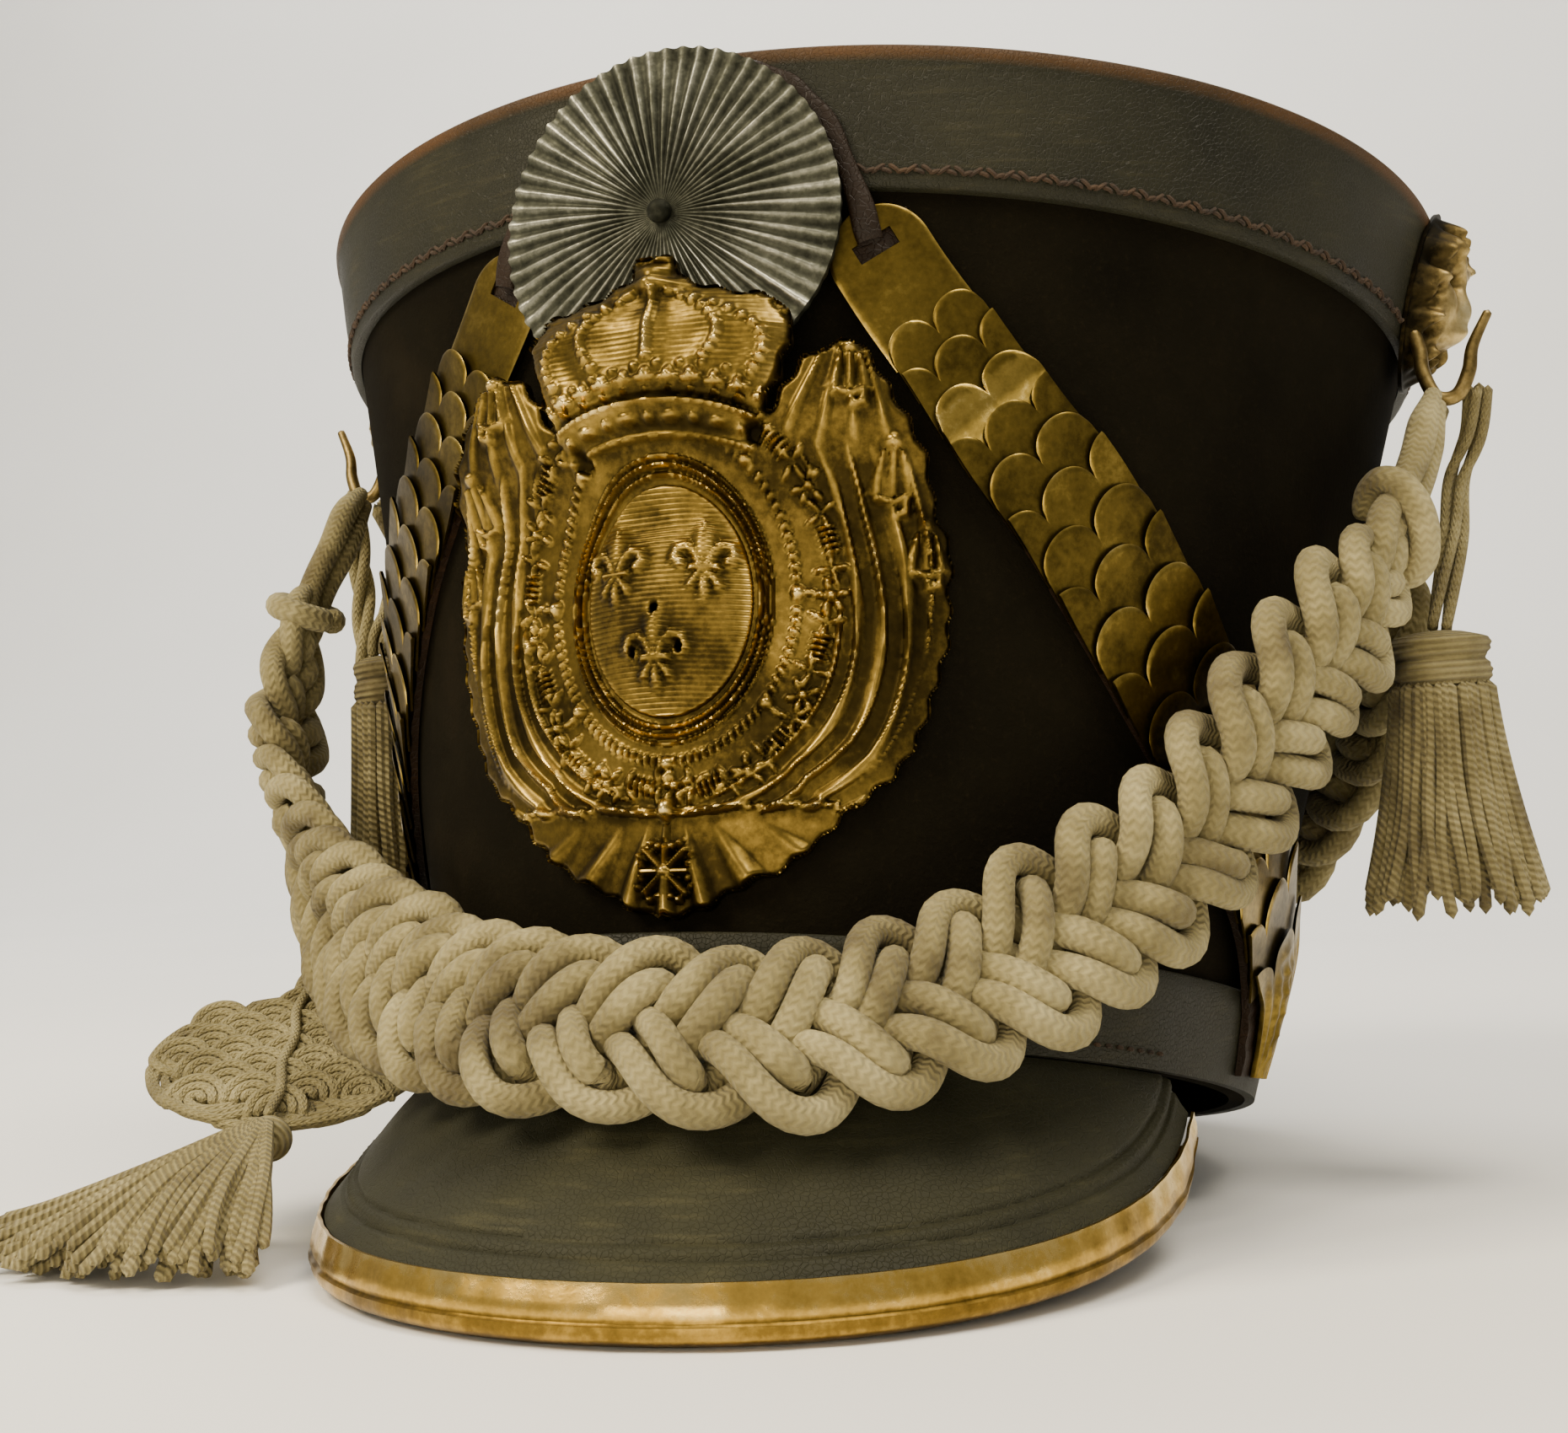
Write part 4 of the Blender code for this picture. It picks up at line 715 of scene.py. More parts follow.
def stitch_parts(angles, z, slant, length, off, thickness=0.00042):
    """One small thread over each place: a bow that rises off the leather and dips in again."""
    t = np.linspace(-0.5, 0.5, 6)[None]
    a = angles[:, None] + t * length * np.cos(slant)[:, None] / TOP_HALF_DEPTH
    height = z[:, None] + t * length * np.sin(slant)[:, None]
    lift = off + 0.0005 * np.cos(math.pi * t) - 0.0001
    paths = on_bell(a, height, lift)
    return leaned(tube_parts(paths, paths * [1, 1, 0], thickness, 5))


def thread_material():
    material, tree, shader, place = start_material("brown_thread")
    patches = noise(tree, place["Object"], 300.0, 4.0)
    tree.links.new(ramp(tree, patches, [(0.3, "1c130a"), (0.7, "3c2913")]),
                   shader.inputs["Base Color"])
    shader.inputs["Roughness"].default_value = 0.85
    bump(tree, shader, noise(tree, place["Object"], 2500.0, 2.0), 0.0002)
    return material


def make_stitching(thread):
    """Zigzag stitches round the top band's lower edge and a plain row over the peak."""
    count = 250
    angles = 2 * math.pi * np.arange(count) / count
    low = BODY_HEIGHT - TOP_BAND_HEIGHT + 0.0036
    slant = np.where(np.arange(count) % 2, 0.62, -0.62)
    parts = stitch_parts(angles, np.full(count, low), slant, 0.0034, 0.0)
    parts += stitch_parts(angles + math.pi / count, np.full(count, low - 0.0004),
                          -0.5 * slant, 0.0026, 0.0)
    front = np.radians(np.linspace(-64, 64, 74))
    parts += stitch_parts(front, np.full(74, 0.0030), np.zeros(74), 0.0021, 0.0)
    make_piece("band_stitching", parts, thread)


felt = felt_material()
band_leather = leather_material("band_leather", "1a1a11", "272618", "3b3724", 1100.0)
peak_leather = leather_material("peak_leather", "222217", "323120", "45422c", 900.0,
                                (0.5, 0.72))
brown_leather = leather_material("strap_leather", "150e07", "2a1c0f", "402a16", 800.0)
thread = thread_material()
make_body(felt, band_leather, peak_leather)
make_stitching(thread)


# Peak and its brass edging

PEAK_HALF_ANGLE, PEAK_END_ANGLE = math.radians(71.3), math.radians(67.5)
PEAK_REACH, PEAK_DROP, PEAK_WALL = 0.0384, 0.0424, 0.0028
LIP_HEIGHT, LIP_LEAN = 0.0078, math.radians(9)
EDGING_WALL, EDGING_BACK = 0.0006, 0.0050


def peak_rows(angle):
    """For each angle the root, outward direction, reach, drop and lip, as arrays."""
    root = on_bell(angle, 0.0)
    out = unit(np.stack([np.sin(angle) / BASE_HALF_WIDTH, -np.cos(angle) / BASE_HALF_DEPTH,
                         0 * angle], axis=-1))
    share = np.cos(angle * (math.pi / 2) / PEAK_HALF_ANGLE)
    lip = LIP_HEIGHT * np.minimum(1.0, 0.45 + 2.2 * share)
    return root, out, PEAK_REACH * share ** 1.04, PEAK_DROP * share ** 0.71, lip


def peak_line(angle, t, raise_by=0.0):
    """The leather's face at t from the band (0) to the lip (1), along its slightly hollow run."""
    root, out, reach, drop, _ = peak_rows(angle)
    o = -BAND_WALL + (reach + BAND_WALL) * t
    z = -GAP - (drop - GAP) * (0.84 * t + 0.16 * t * t)
    slope = np.stack([reach + BAND_WALL, -(drop - GAP) * (0.84 + 0.32 * t)], axis=-1)
    slope = unit(slope)
    o = o - raise_by * slope[..., 1]
    z = z + raise_by * slope[..., 0]
    place = root + out * o[..., None]
    place[..., 2] += z
    return place


def make_peak(leather, brass):
    """Leather with two pressed and pricked lines inside a folded brass edging."""
    angle = np.linspace(-PEAK_END_ANGLE, PEAK_END_ANGLE, 400)[:, None]
    t = np.concatenate([np.linspace(0, 0.55, 12), np.linspace(0.56, 1.0, 60)])[None]
    angle, t = np.broadcast_arrays(angle, t)
    _, _, reach, drop, lip = peak_rows(angle)
    run = np.hypot(reach, drop) * (1 - t)
    groove = 0.0
    for line, depth, teeth in ((0.0046, 0.0006, 0.0), (0.0062, -0.0004, 0.9),
                               (0.0079, 0.0006, 0.0)):
        prick = 1 - teeth * (0.5 + 0.5 * np.sin(angle * 420 + run * 1800))
        groove = groove - depth * prick * np.exp(-((run - line) / 0.00048) ** 2)
    sag = 0.0005 * np.sin(7 * angle + 3 * t) * np.sin(math.pi * t)
    face = peak_line(angle, t, groove + sag)
    under = peak_line(angle, t, -PEAK_WALL + sag)
    shell = np.concatenate([face, under[:, back_rows(t.shape[1], 16)]], axis=1)
    make_piece("leather_peak", [sheet_part(to_table(shell), (False, True))], leather,
               ["peak"])

    angle = np.linspace(-PEAK_END_ANGLE, PEAK_END_ANGLE, 500)
    root, out, _, _, lip = peak_rows(angle)
    start = peak_line(angle, np.ones_like(angle))
    down = out * math.sin(LIP_LEAN)
    down[:, 2] -= math.cos(LIP_LEAN)
    face = out * math.cos(LIP_LEAN)
    face[:, 2] += math.sin(LIP_LEAN)
    inside = PEAK_WALL + 2 * GAP
    outer = 2 * GAP + EDGING_WALL
    foot = lip + outer
    back = np.maximum(foot - EDGING_BACK, 0.35 * foot)
    section = [(0 * foot - 0.0002, 2 * GAP), (0 * foot, outer), (0.12 * foot, outer),
               (0.35 * foot, outer + 0.0002), (0.60 * foot, outer + 0.0001),
               (0.66 * foot, outer - 0.0003), (0.70 * foot, outer - 0.0003),
               (0.76 * foot, outer + 0.0001), (foot - 0.0011, outer - 0.0002),
               (foot - 0.0004, outer - 0.0007), (foot, outer - 0.0017),
               (foot, -inside - EDGING_WALL + 0.0009), (foot - 0.0006, -inside - EDGING_WALL),
               (back, -inside - EDGING_WALL), (back, -inside),
               (foot - EDGING_WALL, -inside), (foot - EDGING_WALL, 2 * GAP)]
    dent = 0.00012 * np.sin(angle * 37) + 0.0001 * np.sin(angle * 91 + 2)
    loops = [start + down * np.reshape(s, (-1, 1)) + face * np.reshape(n + dent, (-1, 1))
             for s, n in section]
    # Lightest at the top edge and lighter along the upper face; darkest in the tooled groove; darker
    # along the lower strip, round the bottom edge and on the faces folded under the peak.
    tone = [0.6, 0.85, 0.75, 0.72, 0.7, 0.35, 0.3, 0.42, 0.40, 0.5] + [0.35] * 7
    wear = np.broadcast_to(tone, (len(angle), len(section)))
    make_piece("brass_edging", [sheet_part(to_table(np.stack(loops, axis=1)), (False, True),
                                           wear)], brass, ["peak_edging"])


def brass_material(name, stops, rough=(0.24, 0.5), patch_scale=40.0, dents=0.00012):
    """Tarnish gathers where wear is low and in cloudy patches; high places are rubbed bright."""
    material, tree, shader, place = start_material(name)
    worn = add(tree, "Attribute", attribute_name="wear").outputs["Fac"]
    cloud = noise(tree, place["Object"], patch_scale, 7.0, 0.65)
    speck = noise(tree, place["Object"], 700.0, 4.0, 0.6)
    level = maths(tree, "ADD", worn, stretch(tree, cloud, 0.3, 0.7, -0.26, 0.22))
    level = maths(tree, "ADD", level, stretch(tree, speck, 0.3, 0.7, -0.10, 0.06))
    tree.links.new(ramp(tree, level, stops), shader.inputs["Base Color"])
    tree.links.new(stretch(tree, level, 0.2, 0.9, rough[1], rough[0]),
                   shader.inputs["Roughness"])
    shader.inputs["Metallic"].default_value = 1.0
    bump(tree, shader, maths(tree, "ADD", cloud, maths(tree, "MULTIPLY", speck, 0.3)), dents)
    return material


BRASS_STOPS = [(0.0, "141007"), (0.30, "352b12"), (0.55, "6b5826"), (0.80, "a28743"),
               (1.0, "dcc27c")]
edging_brass = brass_material("edging_brass", [(0.0, "3f3112"), (0.35, "7d6328"),
                                               (0.65, "bd9a48"), (1.0, "e8cc82")],
                              (0.22, 0.42), 60.0)
make_peak(peak_leather, edging_brass)


# Cockade

COCKADE_RADIUS, COCKADE_AT, COCKADE_FOLLOW = 0.0330, 0.1490, 0.6
COCKADE_WALL, COCKADE_DOME, COCKADE_STAND, COCKADE_RIDGE = 0.0012, 0.0020, 0.0024, 0.0010
COCKADE_RIDGES = 60
STUD_RADIUS = 0.0023


def on_front(u, v, off, follow=1.0):
    """A point u across and v up on the front, taking a share of the bell's curve."""
    width = BASE_HALF_WIDTH + (TOP_HALF_WIDTH - BASE_HALF_WIDTH) * v / BODY_HEIGHT
    bent = on_bell(u / width, v, off)
    middle = on_bell(0 * u, v, off)
    flat = np.stack(np.broadcast_arrays(u, middle[..., 1], v), axis=-1)
    return follow * bent + (1 - follow) * flat


def grey_metal():
    """Dark tarnished plating, rubbed silver on the ridges."""
    material, tree, shader, place = start_material("grey_plating")
    worn = add(tree, "Attribute", attribute_name="wear").outputs["Fac"]
    cloud = noise(tree, place["Object"], 70.0, 6.0, 0.65)
    speck = noise(tree, place["Object"], 900.0, 4.0, 0.6)
    level = maths(tree, "ADD", worn, stretch(tree, cloud, 0.3, 0.7, -0.30, 0.22))
    level = maths(tree, "ADD", level, stretch(tree, speck, 0.3, 0.7, -0.12, 0.08))
    tree.links.new(ramp(tree, level, [(0.0, "1b1c13"), (0.35, "45463a"), (0.65, "77776a"),
                                      (1.0, "c4c1ae")]), shader.inputs["Base Color"])
    tree.links.new(stretch(tree, level, 0.2, 0.9, 0.6, 0.3), shader.inputs["Roughness"])
    shader.inputs["Metallic"].default_value = 0.85
    bump(tree, shader, speck, 0.00012)
    return material


def make_cockade(metal, dark):
    """A dished disc whose ridges rise as a sharpened cosine of the angle, with a ball stud."""
    a = np.linspace(0, 2 * math.pi, 12 * COCKADE_RIDGES, endpoint=False)[None]
    share = np.linspace(0.01, 1, 48)[:, None]
    deal = np.random.default_rng(3)
    keys = deal.uniform(0.55, 1.0, COCKADE_RIDGES)
    order = (a * COCKADE_RIDGES / (2 * math.pi) + 0.5).astype(int) % COCKADE_RIDGES
    tall = keys[order]
    crest = (0.5 + 0.5 * np.cos(a * COCKADE_RIDGES)) ** 1.15
    rise = COCKADE_RIDGE * crest * tall * smooth_step(share * 2.6) * (1 - 0.25 * share ** 8)
    edge = 1 + 0.006 * crest * (share > 0.96)
    u = COCKADE_RADIUS * share * edge * np.sin(a)
    v = COCKADE_AT + COCKADE_RADIUS * share * edge * np.cos(a)
    dome = COCKADE_DOME * (1 - share ** 2)
    lip = 0.0004 * smooth_step((share - 0.93) / 0.05)
    high = on_front(u, v, COCKADE_STAND + COCKADE_WALL + dome + rise + lip, COCKADE_FOLLOW)
    low = on_front(u, v, COCKADE_STAND + 0.0002 + dome, COCKADE_FOLLOW)
    low = low[back_rows(len(low), 8)]
    shell = np.concatenate([high, low])
    wear = np.broadcast_to(0.18 + 0.62 * crest * tall * smooth_step(share * 3), high.shape[:2])
    wear = np.concatenate([wear, 0 * low[..., 0]])
    t, p = np.meshgrid(np.linspace(0, math.pi, 20), np.linspace(0, 2 * math.pi, 28),
                       indexing="ij")
    seat = on_front(np.array(0.0), np.array(COCKADE_AT),
                    COCKADE_STAND + COCKADE_WALL + COCKADE_DOME)
    ball = seat + [0, -STUD_RADIUS / 2, 0] + STUD_RADIUS * np.stack(
        [np.sin(t) * np.cos(p), -np.cos(t), np.sin(t) * np.sin(p)], axis=-1)
    make_piece("ribbed_cockade", [sheet_part(to_table(shell), (False, True), wear),
                                  sheet_part(to_table(ball), (False, False), 0.12)],
               metal, ["cockade"])


cockade_metal = grey_metal()
make_cockade(cockade_metal, cockade_metal)


# Front plate: a relief worked out in millimetres from the oval's middle

PLATE_HEIGHT, PLATE_HALF_WIDTH, PLATE_BOTTOM_AT = 0.1190, 0.0510, 0.0205
PLATE_WALL, PLATE_STAND_LOW, PLATE_STAND_HIGH = 0.0008, 0.0004, 0.0084
OVAL_SHARE = 0.474
OVAL_W_MM, OVAL_H_MM = 19.0, 25.0
PLATE_OUTLINE = [
    (0.00, -0.474), (0.14, -0.462), (0.30, -0.425), (0.45, -0.392), (0.57, -0.352),
    (0.60, -0.325), (0.80, -0.262), (0.93, -0.150), (1.00, -0.020), (1.00, 0.080),
    (0.92, 0.190), (0.82, 0.285), (0.67, 0.385), (0.53, 0.360), (0.37, 0.262),
    (0.41, 0.310), (0.49, 0.400), (0.42, 0.447), (0.22, 0.468), (0.09, 0.484),
    (0.08, 0.520), (0.00, 0.526),
]


def blob(u, v, at, size, height, turn=0.0):
    """height exp(-(d^2)^1.3), d the distance in sizes, turned by an angle."""
    du, dv = u - at[0], v - at[1]
    c, s = math.cos(turn), math.sin(turn)
    d2 = ((du * c + dv * s) / size[0]) ** 2 + ((dv * c - du * s) / size[1]) ** 2
    return height * np.exp(-np.minimum(d2, 30.0) ** 1.3)


def ridge(u, v, points, width, height):
    """A rounded bar along straight steps: height exp(-(distance / width)^2)."""
    best = np.full(np.shape(u), 1e9)
    for (u0, v0), (u1, v1) in zip(points, points[1:]):
        du, dv = u1 - u0, v1 - v0
        t = np.clip(((u - u0) * du + (v - v0) * dv) / (du * du + dv * dv + 1e-9), 0, 1)
        best = np.minimum(best, (u - u0 - t * du) ** 2 + (v - v0 - t * dv) ** 2)
    return height * np.exp(-np.minimum(best / width ** 2, 30.0))


def fleur(u, v, at, size):
    """Middle petal, two curled side petals, a band and three feet."""
    x, y = (u - at[0]) / size, (v - at[1]) / size
    shape = blob(x, y, (0, 1.35), (1.15, 2.2), 1.15)
    shape = np.maximum(shape, ridge(x, y, [(0, -1.2), (0, 3.2)], 0.45, 0.9))
    for side in (-1, 1):
        curl = [(0.35 * side, -0.7), (0.8 * side, 0.5), (1.6 * side, 1.15), (2.5 * side, 0.9),
                (2.75 * side, 0.1), (2.2 * side, -0.4)]
        shape = np.maximum(shape, ridge(x, y, curl, 0.58, 1.0))
        shape = np.maximum(shape, ridge(x, y, [(0.3 * side, -1.3), (1.2 * side, -2.5)],
                                        0.50, 0.85))
    shape = np.maximum(shape, ridge(x, y, [(-1.1, -0.95), (1.1, -0.95)], 0.45, 1.1))
    return np.maximum(shape, blob(x, y, (0, -2.5), (0.60, 1.3), 0.95))


def outline_reach(angle):
    """The mantle's radius in mm at an angle, read off the outline's lower and side points."""
    rows = np.array(PLATE_OUTLINE[3:13]) * [PLATE_HALF_WIDTH * 1000, PLATE_HEIGHT * 1000]
    return np.interp(angle, np.arctan2(rows[:, 1], rows[:, 0]), np.hypot(*rows.T))


def oval_relief(u, v):
    """The dished oval with its engraved lines and three flowers."""
    oval = np.hypot(u / OVAL_W_MM, v / OVAL_H_MM)
    h = 1.9 + 2.9 * (1 - np.minimum(oval / 0.88, 1.0) ** 2) - 1.2 * smooth_step(
        (oval - 0.825) / 0.03)
    h = h + 0.11 * np.sin(2 * math.pi * v / 0.95)
    h = h - 0.8 * blob(u, v, (-4.5, 14.5), (6.0, 3.0), 1.0)
    for at in ((-9.2, 7.0), (7.8, 7.2), (-1.2, -8.8)):
        h = h + 1.5 * fleur(u, v, at, 1.95)
    for at in ((-1.5, -1.6), (-5.7, -9.4), (3.2, -8.9)):
        h = h - 2.4 * blob(u, v, at, (0.6, 1.0), 1.0)
    return h


def crown_bow(u):
    return 29.0 - 3.2 * (u / 17.0) ** 2


def crown_relief(u, v):
    """Band of gems, leaf row, bulged cap with five beaded arches and a knob on top."""
    c = v - crown_bow(u)
    half = np.interp(v, [24, 31, 40, 47.5, 53, 56, 57.6, 63],
                     [17.2, 18.7, 22.3, 24.6, 20.2, 10.5, 4.2, 4.2])
    inside = smooth_step((half - np.abs(u)) / 1.2)
    bulge = np.sqrt(np.clip(1 - (u / (half + 0.5)) ** 2, 0, 1))
    h = 1.0 + 3.8 * bulge * smooth_step((56.5 - v) / 9) * smooth_step((c + 1) / 6)
    h = h + 0.09 * np.sin(2 * math.pi * v / 1.0) * (c > 12)
    h = h - 1.0 * np.exp(-((c - 6.0) / 0.7) ** 2)
    for edge in (-0.2, 5.0):
        h = h + 1.1 * np.exp(-((c - edge) / 0.6) ** 2)
    t = np.linspace(0, 1, 13)
    for foot, swell in ((0.0, 0.0), (8.5, 5.5), (16.5, 6.5)):
        for side in ((1,) if foot == 0 else (-1, 1)):
            line_u = side * (foot * (1 - t ** 1.6) + swell * np.sin(math.pi * t) + 0.9 * t)
            line_v = 40.5 - 0.012 * foot ** 2 + (15.5 + 0.012 * foot ** 2) * t ** 0.9
            path = list(zip(line_u, line_v))
            h = h + ridge(u, v, path, 2.1, 1.3) - ridge(u, v, path, 1.35, 1.0)
            for at in path[1:-1]:
                h = h + blob(u, v, at, (0.85, 0.75), 1.5)
    for k in range(-4, 5):
        at = (k * 3.9, crown_bow(k * 3.9) + 2.4)
        h = h + blob(u, v, at, (1.5, 0.8) if k % 2 else (0.8, 0.8), 1.2)
    for k in range(-5, 6):
        at_u, base = k * 3.9, crown_bow(k * 3.9)
        h = np.maximum(h, blob(u, v, (at_u, base + 7.2), (1.3, 0.8), 5.6))
        h = h + blob(u, v, (at_u, base + 9.6), (0.7, 1.3), 1.7)
        for side in (-1, 1):
            h = h + blob(u, v, (at_u + 1.15 * side, base + 9.0), (0.75, 0.6), 1.3, 0.6 * side)
        h = h + blob(u, v, (at_u + 1.95, base + 11.6), (0.6, 0.6), 1.0)
    h = h + blob(u, v, (0, 56.2), (4.2, 1.2), 2.0)
    h = h + blob(u, v, (0, 59.2), (3.2, 1.5), 2.2) + blob(u, v, (0, 61.7), (3.8, 0.8), 1.9)
    return h, inside


def around_factor(sine, side, drop):
    """How many ovals out a ring lies: less below, where sine is towards -1."""
    return side - drop * np.maximum(-sine, 0.0) ** 1.5


def garland_relief(u, v):
    """Flowers, leaves and ribbed buds along a ring round the oval."""
    h = 0 * u
    deal = np.random.default_rng(9)
    for k, turn in enumerate(np.radians(np.linspace(-232, 52, 40))):
        factor = float(around_factor(math.sin(turn), 1.56, 0.18)) + 0.05 * math.sin(5 * turn)
        at = (OVAL_W_MM * factor * math.cos(turn), OVAL_H_MM * factor * math.sin(turn))
        if k % 4 == 0:
            h = np.maximum(h, blob(u, v, at, (1.1, 1.1), 2.6))
            for p in range(5):
                spot = 1.26 * p + deal.uniform(0, 1)
                petal = (at[0] + 2.2 * math.cos(spot), at[1] + 2.2 * math.sin(spot))
                h = np.maximum(h, blob(u, v, petal, (1.5, 0.85), 2.1, spot))
        elif k % 4 == 2:
            for p in range(-2, 3):
                bar = (at[0] + 1.15 * p * math.sin(turn), at[1] - 1.15 * p * math.cos(turn))
                h = np.maximum(h, blob(u, v, bar, (2.3, 0.50), 2.2, turn))
        else:
            for p in range(4):
                spot = turn + 1.6 * p + deal.uniform(-0.5, 0.5)
                leaf = (at[0] + 2.0 * math.cos(spot), at[1] + 2.0 * math.sin(spot))
                h = np.maximum(h, blob(u, v, leaf, (2.0, 0.75), 2.0, spot))
    return h


def hanging_relief(u, v, at, size, side):
    """A small rope tassel: ribbed skirt under a knob with a curl beside it."""
    x, y = side * (u - at[0]) / size, (v - at[1]) / size
    inside = smooth_step((1.3 + 0.40 * (2.0 - y) - np.abs(x)) / 0.4)
    inside = inside * smooth_step((2.2 - y) / 0.5) * smooth_step((y + 2.6) / 0.4)
    h = 1.4 * inside * (0.66 + 0.34 * np.cos(x * 8 / (1.3 + 0.2 * (2.0 - y))))
    h = np.maximum(h, blob(x, y, (0, 2.6), (0.8, 0.8), 1.7))
    curl = [(-1.6, -2.6), (0.2, -3.0), (1.4, -2.4), (1.3, -3.9), (0.2, -4.3), (0.1, -3.6)]
    return np.maximum(h, ridge(x, y, curl, 0.5, 1.6))


def plate_relief(u, v):
    """Everything outside the oval: mantle folds that run between the garland and the edge,
    a hatched border, collar, garland, tassels, crown and the ruffled foot."""
    oval = np.hypot(u / OVAL_W_MM, v / OVAL_H_MM)
    side = np.abs(u)
    angle = np.arctan2(v, side)
    reach = np.hypot(side, v)
    factor = around_factor(np.sin(angle), 1.66, 0.18)
    inner = factor / np.hypot(np.cos(angle) / OVAL_W_MM, np.sin(angle) / OVAL_H_MM)
    share = np.clip((reach - inner) / np.maximum(outline_reach(angle) - inner, 4.0), 0, 1.2)
    phase = 4.4 * share ** 0.85 + 0.30 * np.sin(3.2 * angle + 0.6)
    pleat = (0.5 + 0.5 * np.cos(2 * math.pi * phase)) ** 2.0
    fine = (0.5 + 0.5 * np.cos(2 * math.pi * (2.45 * phase + 0.3 * np.sin(5 * angle)))) ** 2
    h = 0.7 + 1.7 * pleat + 0.5 * fine
    border = smooth_step((share - 0.80) / 0.04) * smooth_step((0.30 - angle) / 0.2)
    border = border * smooth_step((angle + 0.95) / 0.3)
    hatch = 0.22 * np.sin(2 * math.pi * (v - 0.5 * side) / 1.7) + 0.9
    h = h * (1 - border) + hatch * border
    rope = np.exp(-((share - 0.80) / 0.022) ** 2) * smooth_step((angle + 0.95) / 0.3)
    h = h + 0.9 * rope * (angle < 0.35) * (0.6 + 0.4 * np.sin(2 * math.pi * v / 1.1))
    upper = smooth_step((v - 20) / 10)
    spread = np.arctan2(side - 34, 54 - v)
    folds = (0.5 + 0.5 * np.cos(spread * 30)) ** 2
    h = h * (1 - upper) + upper * (0.9 + 1.2 * folds)
    line = v + 38.6 - 0.04 * side
    ruffle = smooth_step(-line / 0.8)
    turn = np.arctan2(u, -(v + 27.0))
    waves = (0.5 + 0.5 * np.cos(turn * 21 + 0.9 * np.sin(turn * 5))) ** 1.5
    frill = 0.8 + (0.5 + 2.0 * smooth_step((-v - 39) / 12)) * waves
    h = h * (1 - ruffle) + frill * ruffle
    h = h + (1.3 * np.exp(-((line - 0.9) / 0.7) ** 2) - 0.7 * np.exp(-((line + 0.6) / 0.5) ** 2)
             ) * (side < 31)
    ground = smooth_step((factor - oval) / 0.05)
    h = h * (1 - ground) + 0.8 * ground
    h = np.maximum(h, garland_relief(u, v) + 0.5)
    ribs = (0.5 + 0.5 * np.cos(np.arctan2(v / OVAL_H_MM, u / OVAL_W_MM) * 100)) ** 0.8
    ring = around_factor(np.sin(angle), 1.25, 0.09)
    h = np.maximum(h, np.exp(-((oval - ring) / 0.062) ** 4) * (1.2 + 1.1 * ribs))
    for turn_to in np.radians((-90, -38, 2, 50, 130, 178, 218)):
        factor_at = float(around_factor(math.sin(turn_to), 1.26, 0.09))
        at = (OVAL_W_MM * factor_at * math.cos(turn_to), OVAL_H_MM * factor_at
              * math.sin(turn_to))
        h = np.maximum(h, blob(u, v, at, (1.7, 1.7), 3.0))
        out = (at[0] * 1.085, at[1] * 1.085)
        h = np.maximum(h, blob(u, v, out, (1.9, 1.0), 2.5, turn_to))
    for place, thick, tall in ((0.905, 0.026, 2.5), (0.970, 0.022, 2.9), (1.030, 0.022, 2.2)):
        h = np.maximum(h, tall * np.exp(-((oval - place) / thick) ** 2))
    for side_of in (-1, 1):
        for at, size in (((33.5, 39.5), 1.55), ((40.5, 22.5), 1.7), ((46.5, 9.5), 1.6)):
            spot = (side_of * at[0], at[1])
            h = np.maximum(h, hanging_relief(u, v, spot, size, side_of) + 1.3)
    crown, inside = crown_relief(u, v)
    over = smooth_step((v - crown_bow(u) + 2.0) / 1.2) * inside
    h = h * (1 - over) + (crown + 0.6) * over
    star = blob(u, v, (0, -48.5), (1.5, 1.5), 2.4)
    for k in range(8):
        spot = k * math.pi / 4
        size = 5.4 if k % 2 else 4.4
        tip = (size * math.cos(spot), -48.5 + size * math.sin(spot))
        star = np.maximum(star, ridge(u, v, [(0, -48.5), tip], 0.62, 1.8))
        for fork in (-0.28, 0.28):
            point = (size * 1.05 * math.cos(spot + fork), -48.5 + size * 1.05
                     * math.sin(spot + fork))
            star = np.maximum(star, blob(u, v, point, (0.65, 0.65), 2.0))
    h = np.maximum(h, (star + 1.6) * (star > 0.15))
    h = np.maximum(h, blob(u, v, (0, -37.4), (1.9, 2.5), 3.8))
    h = np.maximum(h, ridge(u, v, [(-0.1, -42.5), (0, -40.5)], 0.8, 2.6))
    for at in ((-14.6, 25.8), (17.3, 28.6)):
        h = h - 3.0 * blob(u, v, at, (1.4, 1.6), 1.0)
    return h


def outline_mm():
    rows = np.array(PLATE_OUTLINE) * [PLATE_HALF_WIDTH * 1000, PLATE_HEIGHT * 1000]
    loop = np.concatenate([rows, (rows * [-1, 1])[-2:0:-1]])
    closed = np.concatenate([loop, loop[:1]])
    s = along(np.pad(closed, ((0, 0), (0, 1))))
    places = np.linspace(0, s[-1], 700, endpoint=False)
    line = np.stack([np.interp(places, s, closed[:, c]) for c in (0, 1)], axis=1)
    soft = sum(np.roll(line, k, axis=0) for k in range(-3, 4)) / 7
    edge = unit(np.roll(soft, -1, axis=0) - np.roll(soft, 1, axis=0))
    frill = 0.45 * np.sin(np.arange(700) * 0.55) + 0.3 * np.sin(np.arange(700) * 0.21)
    return soft + np.stack([edge[:, 1], -edge[:, 0]], axis=1) * frill[:, None]


def on_plate(u, v, h):
    """A relief point in mm put on the bell, standing off more where it passes the cockade."""
    up = v / 1000 + OVAL_SHARE * PLATE_HEIGHT
    stand = PLATE_STAND_LOW + (PLATE_STAND_HIGH - PLATE_STAND_LOW) * smooth_step(
        (up / PLATE_HEIGHT - 0.58) / 0.18)
    return to_table(on_front(u / 1000, PLATE_BOTTOM_AT + up, stand - BAND_WALL + h / 1000))


